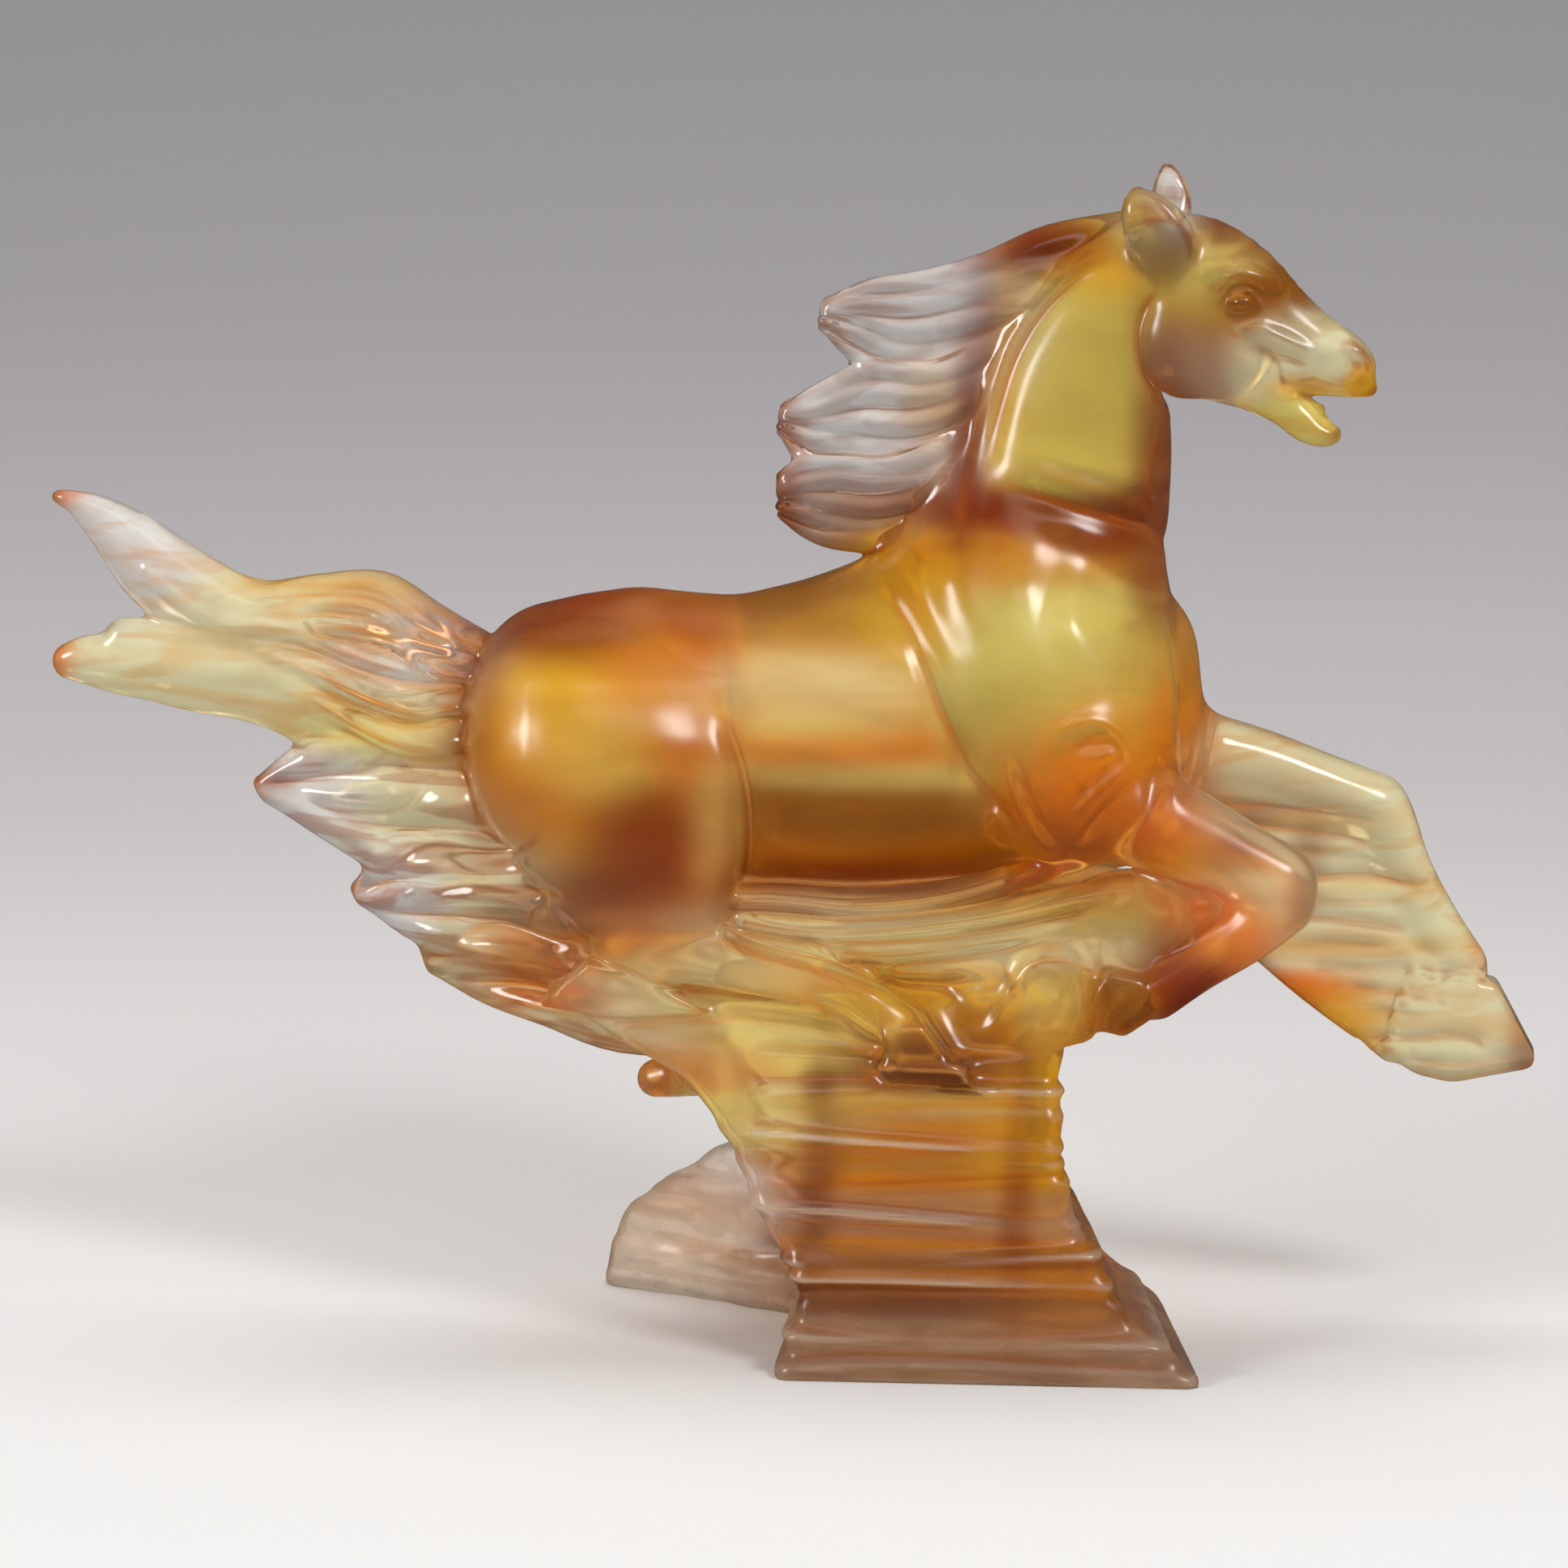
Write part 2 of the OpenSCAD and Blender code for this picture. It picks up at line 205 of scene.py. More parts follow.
def form(clay, name, points, melt=3.0, parts=4):
    """A wax form through points [x, y, z, rx, ry, rz], or [x, y, z, r]."""
    rows = [list(p) + [p[3], p[3]] if len(p) == 4 else list(p) for p in points]
    if len(rows) == 1:
        rows = rows * 2
    path = smooth_path(rows, parts)
    path[:, 3:] = np.maximum(path[:, 3:], 0.3)
    pad = melt + SPARE
    low, high = (path[:, :3] - path[:, 3:]).min(0) - pad, (path[:, :3] + path[:, 3:]).max(0) + pad
    whole, _ = clay.window(low, high)
    wax = np.full([c.stop - c.start for c in whole], EMPTY, np.float32)
    for a, b in zip(path[:-1], path[1:]):
        reach = np.maximum(a[3:], b[3:]) + pad
        part, grids = clay.window(np.minimum(a, b)[:3] - reach, np.maximum(a, b)[:3] + reach)
        inside = tuple(slice(q.start - w.start, q.stop - w.start) for q, w in zip(part, whole))
        inside = tuple(slice(max(c.start, 0), c.stop) for c in inside)
        grids = [g[tuple(slice(max(w.start - q.start, 0), None) if k == i else slice(None) for k in range(3))]
                 for i, (g, q, w) in enumerate(zip(grids, part, whole))]
        d = egg(a, b)(*grids).astype(np.float32)
        spot = wax[inside]
        wax[inside] = np.minimum(spot, d[: spot.shape[0], : spot.shape[1], : spot.shape[2]])
    clay.melt(name, whole, wax, melt)


def crease(clay, points, width, depth, side=0, parts=5):
    """A line pressed into the surface along points; a negative depth raises a vein.

    Points of two numbers are [x, z], and press the whole of one side (-1 near, 1 far)
    or all that lies between two values of y.
    """
    path = smooth_path(points, parts)
    if side:
        y = {1: (0.0, 60.0), -1: (-60.0, 0.0)}.get(side, side)
        low = np.insert(path.min(0) - 3 * width, 1, y[0])
        high = np.insert(path.max(0) + 3 * width, 1, y[1])
    else:
        low, high = path.min(0) - 3 * width, path.max(0) + 3 * width

    def amount(x, y, z):
        near = None
        place = (x, z) if side else (x, y, z)
        for a, b in zip(path[:-1], path[1:]):
            run = b - a
            away = [p - q for p, q in zip(place, a)]
            along = sum(d * r for d, r in zip(away, run)) / max(run @ run, 1e-9)
            t = np.clip(along, 0.0, 1.0)
            d2 = sum((d - t * r) ** 2 for d, r in zip(away, run))
            near = d2 if near is None else np.minimum(near, d2)
        # the line dies away towards its two ends
        ends = sum((p - q) ** 2 for p, q in zip(place, path[0]))
        ends = np.minimum(ends, sum((p - q) ** 2 for p, q in zip(place, path[-1])))
        return depth * np.exp(-near / (width * width)) * (1.0 - 0.8 * np.exp(-ends / (6.0 * width * width)))

    clay.press(amount, low, high)


def strands(clay, name, upper, lower, count, thick, melt=1.3, sway=0.0, y=0.0, swell=0.68):
    """A lock of hair or water: strands side by side between two guide lines.

    The guides are rows of [x, z, half thickness]; each strand's height follows from
    the gap between its neighbours, so that the strands touch with a groove between.
    """
    a, b = smooth_path(upper, 5), smooth_path(lower, 5)
    gap = np.hypot(a[:, 0] - b[:, 0], a[:, 1] - b[:, 1]) / max(count - 1, 1)
    run = np.linspace(0.0, 1.0, len(a))
    for i in range(count):
        drift = 0.16 / count * np.sin(2.0 * math.pi * run + 1.9 * i) * (0 < i < count - 1)
        t = (i / max(count - 1, 1) + drift)[:, None]
        mid = a + (b - a) * t
        side = y + sway * math.sin(2.4 * i + 0.7) * np.sin(math.pi * (0.2 + 0.8 * run + 0.13 * i))
        tall = np.maximum(gap * swell * (1.0 + 0.22 * math.sin(3.1 * i)), 1.1) * (1.0 - 0.2 * run)
        deep = mid[:, 2] * thick * (0.86 + 0.14 * math.cos(5.0 * i + 1.0))
        rows = np.column_stack([mid[:, 0], side, mid[:, 1], tall, deep, tall])
        form(clay, name, rows.tolist(), melt, parts=1)


# ------------------------------------------------------------------- the forms


def sculpt_trunk(clay, girth):
    """The barrel, and a haunch and shoulder on each side."""
    form(clay, "barrel", [
        [-44, 0, 112, 17, 19, 25], [-28, 0, 113, 20, 21, 27], [-10, 0, 111.5, 20, girth - 3, 27],
        [12, 0, 112.6, 20, girth - 1, 31.6], [34, 0, 118, 20, girth - 3, 34], [50, 0, 119, 18, 16, 28],
    ], 9.0, 2)
    for side in (-1, 1):
        name = "near_haunch" if side < 0 else "far_haunch"
        form(clay, name, [
            [-36, side * 10.4, 116.4, 22.6, 14, 19], [-31.6, side * 13.6, 108, 26.4, 15, 18.6],
            [-28, side * 15.6, 95, 22, 13.4, 15], [-23.4, side * 18, 84, 15, 10.4, 11],
        ], 2.4, 3)
        form(clay, name, [
            [-15, side * 16, 117, 3, 3.4, 4], [-12, side * 20, 110, 3.8, 4.4, 6],
            [-10.4, side * 21.8, 100, 3.8, 4.6, 8], [-12.6, side * 22.4, 88, 4.2, 4.4, 7],
            [-18, side * 21.6, 79, 5, 4.6, 5],
        ], 3.4, 3)
        name = "near_shoulder" if side < 0 else "far_shoulder"
        fore = 0 if side < 0 else 4
        form(clay, name, [
            [38 + fore, side * 10, 141, 13, 9, 11], [45.4 + fore, side * 13, 127, 19.6, 12.4, 17],
            [52 + fore, side * 14.6, 113, 18.6, 13, 15],
        ], 2.6, 3)
        form(clay, name, [
            [61 + fore, side * 8, 127, 10.4, 11.6, 13], [62 + fore, side * 10, 113, 10.9, 12.6, 14],
        ], 3.0, 3)
        form(clay, name, [[51, side * 18.4, 109, 9, 8.6, 9], [58, side * 19.6, 101, 8, 8, 7]], 3.0, 2)
        form(clay, name, [[44, side * 19, 101, 5, 6, 7], [52, side * 20, 95.6, 6, 6, 5]], 1.6, 2)
        form(clay, name, [[60, side * 20, 108, 4.6, 4.4, 5.6], [66, side * 19, 103, 5, 5, 5]], 1.4, 2)


def muscle_lines(clay):
    """Lines that set the haunch, shoulder and neck off from the barrel, on both sides."""
    for side in (-1, 1):
        crease(clay, [[-10.6, 121], [-6.6, 110], [-5.4, 100], [-6.4, 91], [-9, 85]], 1.5, 1.5, side)
        crease(clay, [[-57, 118], [-60, 108], [-56.4, 98], [-46, 89], [-36, 83]], 1.5, 0.9, side)
        crease(clay, [[18, 142], [24, 134], [29.6, 121], [35, 109.6], [45, 100]], 1.8, 1.5, side)
        crease(clay, [[47, 96], [60, 93], [72, 92]], 1.3, 0.8, side)
        crease(clay, [[40, 161.5], [48, 158.6], [58, 155.4], [66, 152], [70, 146]], 1.9, 1.3, side)
        crease(clay, [[40, 165], [48, 162.4], [58, 159.4], [65, 156.6]], 2.4, -0.7, side)
        crease(clay, [[36, 180], [34.6, 170], [33.4, 160], [30, 150]], 2.0, 0.9, side)
        crease(clay, [[68.6, 174], [66, 163], [66.4, 154]], 1.5, 1.1, side)
        # the soft lobes that fall from the neck into the shoulder
        for lobe in (
            [[20.1, 141.5], [24.8, 133.7], [29.7, 123.9]], [[30.6, 151], [29.9, 145.3], [35, 138.6]],
            [[44, 151.4], [44, 145.3], [47, 137]],
            [[57.5, 149.2], [52.9, 142.5], [54.7, 134.7], [61.3, 129.8]],
        ):
            crease(clay, lobe, 3.6, -0.8, side)
        for dip in (
            [[27.2, 148.3], [26.5, 138.6], [32, 128.9]], [[38, 150.4], [38, 142.5], [42, 133.7]],
            [[50.4, 150], [48.6, 142], [49.4, 134], [55.6, 127]],
        ):
            crease(clay, dip, 3.0, 0.8, side)
        crease(clay, [[56, 124], [63, 119.6], [67.6, 111]], 2.0, -0.6, side)
        crease(clay, [[66, 138], [68.6, 128], [67.6, 118]], 2.0, 0.8, side)


def elbow_lines(clay):
    """The knot of muscle at the elbow, cut crisp over the smooth shoulder."""
    for side in (-1, 1):
        for ridge in (
            [[48.9, 116.1], [52.7, 119.1], [58.5, 120], [63.2, 116.1], [64.7, 109.4]],
            [[65, 113.3], [58.5, 107.4], [52.7, 100.6]],
            [[41.2, 113.3], [43.1, 105.5], [47.9, 97.7], [52.8, 93.7]],
            [[66, 112.4], [69.4, 113.6], [72, 110], [71.6, 104]], [[57, 111.6], [60.6, 114.4], [61, 110]],
        ):
            crease(clay, ridge, 1.3, -1.1, side)
        for valley in (
            [[52, 114.6], [56, 116.2], [60.6, 116.6]], [[63, 107.6], [57.6, 103], [54.6, 97.6]],
            [[44.8, 112], [46.6, 105], [50, 99.6]], [[54, 110], [56.6, 106.6]],
            [[67.6, 110.4], [68, 105.6], [66, 101]],
        ):
            crease(clay, valley, 1.2, 1.1, side)


def sculpt_neck(clay):
    """The neck, with its crest rolled over the top."""
    form(clay, "neck", [
        [42, 0, 138, 28, 17, 13], [46, 0, 152, 24, 14, 11], [50.6, 0, 165, 20, 11.5, 10],
        [53, 0, 179, 17.5, 10, 10], [57.5, 0, 192, 13.5, 8.5, 9], [64, 0, 200.5, 10, 7.5, 8],
    ], 6.0, 3)
    crest = [[63, 0, 206, 3.4], [50, 0, 199, 3.6], [40, 0, 186, 3.8], [34, 0, 172, 4], [27, 0, 156, 4.4]]
    form(clay, "neck", crest, 4.0, 3)


def sculpt_head(clay):
    """The skull with cheeks, brows and lips, the open jaw, the eyes and the ears."""
    form(clay, "skull", [
        [69, 0, 199, 8.5, 7.5, 11], [76, -0.6, 195.5, 9.5, 8.3, 13.5],
        [83, -1.4, 193, 8.5, 8, 11.6], [89.5, -2.2, 190, 6.5, 6, 8],
        [95.5, -3, 187, 5.2, 4.8, 5.6], [100.4, -3.8, 184.4, 4.6, 5, 4.9],
        [104, -4.3, 182, 3.2, 4.5, 3.9],
    ], 3.0, 3)
    for side in (-1, 1):
        form(
            clay, "skull",
            [[73, side * 3.8, 186.4, 10.6, 5.8, 11.2], [79, side * 3.6 - 1, 184.6, 8, 5.4, 8.4]], 1.6, 2,
        )
        form(
            clay, "skull",
            [[85, side * 6.2 - 1.8, 189.4, 3, 2.4, 1.8], [96, side * 3.8 - 3, 184.6, 3, 1.8, 1.4]], 1.6, 2,
        )
        form(
            clay, "skull",
            [
                [77.6, side * 6.2 - 0.8, 199.6, 3, 2.8, 2], [83, side * 6.4 - 1.3, 200, 3, 2.6, 1.7],
                [88, side * 5.6 - 1.8, 197.4, 2, 2, 1.6],
            ],
            1.2, 2,
        )
        form(clay, "skull", [[102.6, side * 3.4 - 4.1, 184.2, 2.2, 1.8, 2.4]], 1.2, 1)
    form(
        clay, "skull",
        [[99, -3.9, 181, 3, 4.2, 1.7], [103.4, -4.3, 179.8, 2.8, 4.2, 1.7], [106, -4.6, 178.6, 1.5, 3, 1.5]],
        1.2, 2,
    )
    form(
        clay, "skull",
        [
            [86, -2, 183.4, 4, 5, 4.4], [92, -2.8, 181.4, 4, 4.6, 3.8], [98, -3.5, 180.4, 4, 4.6, 3.4],
            [103.4, -4.2, 179.9, 3, 4.4, 3],
        ],
        1.4, 2,
    )
    form(clay, "lower_jaw", [
        [78, -1, 181, 7, 5.8, 5.6], [85, -1.8, 178.4, 5.4, 5, 4.4], [91, -2.6, 175, 4, 4.4, 3.7],
        [94.6, -3.2, 172, 3.5, 4, 3.5], [97.6, -3.7, 170.4, 2.8, 3.6, 2.7], [99.2, -4, 170.1, 1.9, 3, 2],
    ], 1.6, 3)
    form(clay, "lower_jaw", [[86, -2, 180, 4, 4.6, 4], [91, -2.6, 177.8, 3, 4, 2.6]], 1.4, 2)
    form(clay, "lower_jaw", [[92, -2.8, 176, 2.2, 2.4, 1.6], [96.4, -3.3, 174.6, 1.8, 2.2, 1]], 0.8, 2)
    for side in (-1, 1):
        name = "near_eye" if side < 0 else "far_eye"
        form(clay, name, [[83, side * 7.6 - 1.6, 194.6, 3, 2.1, 2.1]], 0.5)
    ear(
        clay, "near_ear",
        [
            [69.5, -6.6, 201, 4.8, 3, 4], [68, -8.4, 206, 6.3, 3.4, 5.2], [65.6, -9, 210.6, 4.7, 2.5, 3.8],
            [64, -9, 213.4, 2, 1.5, 2],
        ],
        -1,
    )
    ear(
        clay, "far_ear",
        [
            [68.4, 5.4, 205, 3.8, 2.8, 3], [69.4, 6.6, 210, 3.9, 3, 3.6], [69.2, 7.4, 214.2, 3, 2.1, 2.8],
            [68.8, 7.8, 216.8, 1.7, 1.4, 1.6],
        ],
        -1,
    )
    head_lines(clay)


def ear(clay, name, points, open_side):
    """A leaf of an ear, hollowed on its open side, with a vein down its back."""
    form(clay, name, points, 1.6, 3)
    hollow = [[p[0] + 0.6, p[1] + open_side * p[4] * 1.1, p[2]] for p in points[1:]]
    crease(clay, hollow, 1.9, 2.6, 0, 3)
    rim = [[p[0] + 0.8 * p[3], p[1] + open_side * p[4] * 0.7, p[2]] for p in points]
    crease(clay, rim, 0.8, -0.7, 0, 3)


# Lines of the head and neck: points as [x, z], width, depth
HEAD_LINES = [
    [[[78.6, 193], [81, 196.8], [84.6, 197.2], [87.6, 193.4]], 0.62, 1.3],
    [[[78.8, 192.8], [82.4, 191.2], [87, 192.4]], 0.62, 1.1],
    [[[77.6, 194.6], [81, 198.8], [86.6, 198.4]], 0.8, -0.9],
    [[[79, 189.8], [83.4, 188.6], [88, 190]], 0.8, 0.5],
    [[[101.8, 184.6], [103.6, 182.8], [103.2, 181.4]], 0.95, 2.2],
    [[[99.6, 186.4], [102.6, 187.2], [105.6, 184.6], [105.2, 181]], 0.8, -0.8],
    [[[90.6, 179.6], [95, 180.4], [100, 179.4], [105.6, 178.6]], 0.7, 0.8],
    [[[92.4, 180.4], [96.4, 182.8], [100, 182.2]], 0.9, -0.6],
    [[[67, 197], [64, 189], [65.6, 180], [72, 174.8], [78, 174.6]], 1.2, 1.6],
    [[[87, 185.4], [90, 182], [90.6, 177.4]], 0.9, 0.8],
    [[[86, 190.6], [91, 188], [96, 185.4]], 0.8, -0.6],
    [[[93.6, 190.6], [97, 188.6]], 0.8, -0.5],
    [[[95.6, 172.8], [98.4, 171.8], [101, 171.8]], 0.6, 0.6],
    [[[76, 190], [80, 185.6], [86, 183]], 2.4, -0.5],
    [[[60, 204], [50, 198.6], [41, 187], [36.6, 174], [34, 161], [33, 152]], 1.0, -0.9],
    [[[57, 200.4], [49, 194], [42.6, 184], [39, 172], [37.4, 162]], 1.4, 0.8],
]


def head_lines(clay):
    """Eyelids, nostrils, lips, jaw and the root of the mane, on both sides."""
    for side in (-1, 1):
        for points, width, depth in HEAD_LINES:
            crease(clay, points, width, depth, side)


def sculpt_mane(clay, half):
    """Three locks blown back from the crest."""
    h = half / 7.0
    strands(clay, "mane_upper_lock",
            [[62, 206.4, 3.4], [48, 203.6, 5], [36, 199, 5], [25, 196.4, 4.6], [15, 195.6, 4], [7, 193, 3]],
            [[46, 191, 4], [35, 184, 5], [27, 180.8, 5], [18, 180.6, 4.4], [11, 184.4, 3.8], [6, 188.4, 3]],
            5, h, 1.4, 2.0)
    strands(clay, "mane_middle_lock",
            [
                [42, 188, 4], [34, 182, 5], [26, 179.4, 4.8], [16, 180.2, 4.2], [8, 177.4, 3.4],
                [-0.6, 173.8, 2.6],
            ],
            [[36, 172, 4], [28, 165.6, 5], [19, 163, 4.8], [10, 163, 4.2], [3, 164.4, 3.4], [-1.6, 169, 2.8]],
            5, h, 1.4, 2.2)
    strands(clay, "mane_lower_lock",
            [[36, 172, 4], [27, 165, 5], [18, 162.6, 4.8], [9, 163.6, 4], [3, 163, 3.4], [-1.4, 160.8, 2.6]],
            [
                [31, 154, 4.4], [23, 150.4, 5], [15, 149, 4.8], [8, 149.4, 4.2], [3, 151, 3.6],
                [-1.4, 153.6, 2.8],
            ],
            5, h, 1.4, 2.0)


def sculpt_tail(clay, half):
    """Three locks that end in two tips, and the wisps over their roots."""
    h = half / 9.0
    form(clay, "tail_upper_lock", [
        [-96, 0, 133, 10, 5.4, 5.6], [-106, 0, 135.6, 9, 5, 6.6], [-114, 0, 139.6, 7, 4.4, 8],
        [-120.6, 0, 144.4, 5.4, 3.6, 8],
        [-126.4, 0, 150, 4, 2.8, 5.2], [-131.4, 0, 154, 3, 2.2, 2.6], [-135.6, 0, 155.6, 1.7, 1.5, 1.3],
    ], 2.5, 4)
    strands(clay, "tail_upper_lock",
            [
                [-54, 127, 9], [-66, 133.6, 8], [-76, 139.4, 6.6], [-88, 139.4, 5.6], [-100, 138.6, 4.8],
                [-112, 143, 3.8], [-121, 149.6, 3],
            ],
            [
                [-54, 116, 9], [-66, 119, 8.4], [-78, 123, 7], [-90, 126.6, 6], [-101, 129.6, 5],
                [-112, 134.6, 4.4], [-118, 139.6, 3.6],
            ],
            5, h, 1.9, 2.4)
    form(clay, "tail_middle_lock", [
        [-98, 0.6, 122.6, 10, 5, 6.6], [-110, 0.6, 123.4, 9, 4.8, 6.8], [-122, 0.4, 124, 7, 4, 6],
        [-130, 0, 125, 5, 3.2, 4.8], [-134.4, 0, 124.8, 3.2, 2.6, 3.4],
    ], 2.5, 4)
    strands(clay, "tail_middle_lock",
            [
                [-54, 116, 9], [-68, 121, 8.4], [-82, 126, 7], [-96, 128.6, 5.6], [-110, 129.4, 4.6],
                [-124, 129.6, 3.4],
            ],
            [
                [-54, 107, 9], [-66, 110, 8.4], [-78, 113.6, 7], [-90, 117, 6], [-102, 120, 5],
                [-114, 121.6, 4],
            ],
            3, h, 2.4, 2.6)
    strands(clay, "tail_lower_lock",
            [
                [-52, 107, 9], [-64, 110.6, 8.4], [-76, 114, 7], [-88, 117, 5.8], [-102, 118.6, 4.8],
                [-120, 120.6, 3.6],
            ],
            [
                [-50, 101, 8], [-60, 102, 7.6], [-72, 105, 6.2], [-84, 109, 5], [-98, 114.6, 4],
                [-114, 118, 3.2],
            ],
            3, h, 1.6, 2.0)
    wisps = (
        [[-57, 125], [-66, 124], [-78, 126.6], [-92, 131.6], [-104, 133]],
        [[-57, 120], [-65, 117.4], [-76, 119], [-88, 124.6], [-100, 128]],
        [[-56, 114], [-63, 111], [-73, 111.6], [-84, 117], [-96, 121.6]],
        [[-58, 129.4], [-69, 130.6], [-82, 133.4], [-94, 135.4]],
    )
    for side in (-1, 1):
        for wisp in wisps:
            crease(clay, wisp, 1.3, -1.1, side)
            crease(clay, [[x, z - 2.7] for x, z in wisp[:-1]], 1.3, 1.1, side)


def sculpt_legs(clay):
    """The four legs, and the three hooves on the near side of the wave."""
    form(clay, "near_hind_shank", [
        [-27, -20.5, 81, 10, 7.4, 8], [-24, -22, 75.6, 8.4, 6.2, 6.6], [-14, -23.4, 74.4, 7, 4.8, 5.4],
        [0, -25, 72, 6, 4.4, 4.8], [11, -26.6, 70, 5.4, 4.4, 4.6], [17, -27.6, 68, 4.8, 4.8, 5],
    ], 2.2, 3)
    form(clay, "near_hind_shank", [[19, -28, 66, 4.4, 4.4, 4.6], [23, -28.4, 64, 4.4, 4.2, 4.4]], 1.6, 2)
    form(clay, "far_hind_shank", [
        [-22, 20, 84, 9, 7, 8], [-16, 18, 76, 8, 6, 6.6], [2, 6, 75, 7, 5, 5.4],
        [24, -10, 75, 6, 4.8, 5], [38, -17, 74, 5, 4.8, 5],
    ], 2.2, 3)
    form(clay, "far_hind_shank", [[38, -18, 75, 4, 4.4, 3.4], [46, -21, 75.6, 3.4, 4, 2.6]], 1.6, 2)
    form(clay, "near_forearm", [
        [54, -18, 105, 12, 8.6, 11], [64, -19.6, 102, 10, 8.4, 10], [74, -21, 98.6, 9, 7.6, 8.6],
        [84, -22.4, 94.6, 7.6, 6.8, 6.8], [91, -23, 90.6, 7.2, 6.6, 7.2],
    ], 4.0, 3)
    form(clay, "near_fore_cannon", [
        [91, -23, 86.4, 6.8, 6, 6], [85, -23.4, 80.6, 5.6, 5, 5], [76, -24, 74.6, 4.8, 4.4, 4.6],
        [69, -24.6, 70, 5, 4.8, 5],
    ], 2.2, 3)
    form(clay, "far_forearm", [
        [60, 12, 110, 12, 9, 11], [74, 13.4, 108.6, 9, 7, 8], [86, 14, 106.4, 7.6, 6, 6.6],
        [98, 14.6, 102.4, 6.6, 5.8, 6], [108, 15, 98.6, 6.4, 6, 6.2],
    ], 4.0, 3)
    form(clay, "far_fore_cannon", [
        [110.6, 15, 94.6, 5.6, 5.4, 5.6], [114.4, 15, 86, 4.8, 4.6, 5], [120, 15, 76, 4.6, 4.6, 5],
        [124.4, 15, 68.6, 5.2, 5.2, 5],
    ], 2.2, 3)
    clay.rub(LEG_RUB, [-46, -40, 44], [140, 40, 126])
    elbow_lines(clay)
    block(clay, "near_hind_hoof", [[19.4, 54], [37, 53.4], [27, 65.4], [20, 64]], -28.6, 4.8, 1.0)
    block(
        clay, "far_hind_hoof", [[39, 62.6], [48.6, 59.4], [57.5, 62], [60.2, 67.6], [58, 72.4], [49, 76]],
        -19, 6.6, 1.2,
    )
    block(clay, "near_fore_hoof", [[58, 64], [63.6, 62.6], [69, 66.6], [67, 73.4], [60, 75]], -25, 4.8, 1.0)


def block(clay, name, outline, y, half, melt, lean=0.0):
    """A faceted form: an outline of [x, z] points run through y, edges just eased."""
    pts = np.array(outline, float)
    nxt = np.roll(pts, -1, 0)
    edge = nxt - pts
    normal = np.column_stack([edge[:, 1], -edge[:, 0]])
    normal /= np.linalg.norm(normal, axis=1)[:, None]

    def distance(x, yy, z):
        d = None
        for p, n in zip(pts, normal):
            e = (x - p[0]) * n[0] + (z - p[1]) * n[1]
            d = e if d is None else soft_max(d, e, 0.8)
        return soft_max(d, np.abs(yy - y + lean * (z - pts[0][1])) - half, 1.0)

    low, high = pts.min(0), pts.max(0)
    clay.add(name, distance, [low[0], y - half, low[1]], [high[0], y + half, high[1]], melt)


def soft_max(a, b, ease):
    return np.maximum(a, b) + np.maximum(ease - np.abs(a - b), 0.0) ** 2 / (4.0 * ease)


def sculpt_spray(clay, half):
    """The far fore hoof and the sheet of spray behind the far foreleg."""
    block(clay, "far_fore_hoof",
          [[110.6, 52.6], [116, 48.6], [123, 47], [137.6, 50], [138.6, 51.8], [131, 66], [116, 68.4]],
          15, 5, 2.4)
    for side in ((7.0, 15.0), (15.0, 24.0)):
        crease(clay, [[114, 68.6], [119, 65.6], [124, 68], [130, 65]], 0.8, 1.0, side)
        crease(clay, [[112, 52], [124, 50.4], [136, 52.6]], 0.8, 0.7, side)
    block(
        clay, "spray_sheet", [[70, 84], [94, 62.8], [111, 50.6], [131, 58], [112, 97], [84, 104], [68, 101]],
        14.6, 0.84 * half, 2.2,
    )
    for side in ((7.0, 14.6), (14.6, 24.0)):
        for i in range(11):
            z = 98.6 - 4.3 * i
            x = 71 + 3.7 * i
            end = 111 + 1.5 * i
            mid = (x + end) / 2
            wave = 0.8 * math.sin(1.7 * i)
            deep = 0.5 + 0.35 * math.sin(2.7 * i)
            crease(
                clay,
                [
                    [x + 3 * wave, z + 0.6], [mid - 9, z + wave], [mid + 8, z - 0.6 - wave],
                    [end - 5 * wave, z - 2.6],
                ],
                0.9, deep, side,
            )
            crease(
                clay, [[x + 6, z - 1.8], [mid, z - 2.4 + wave], [end - 6 + 4 * wave, z - 4]], 1.5,
                -0.8 * deep, side,
            )


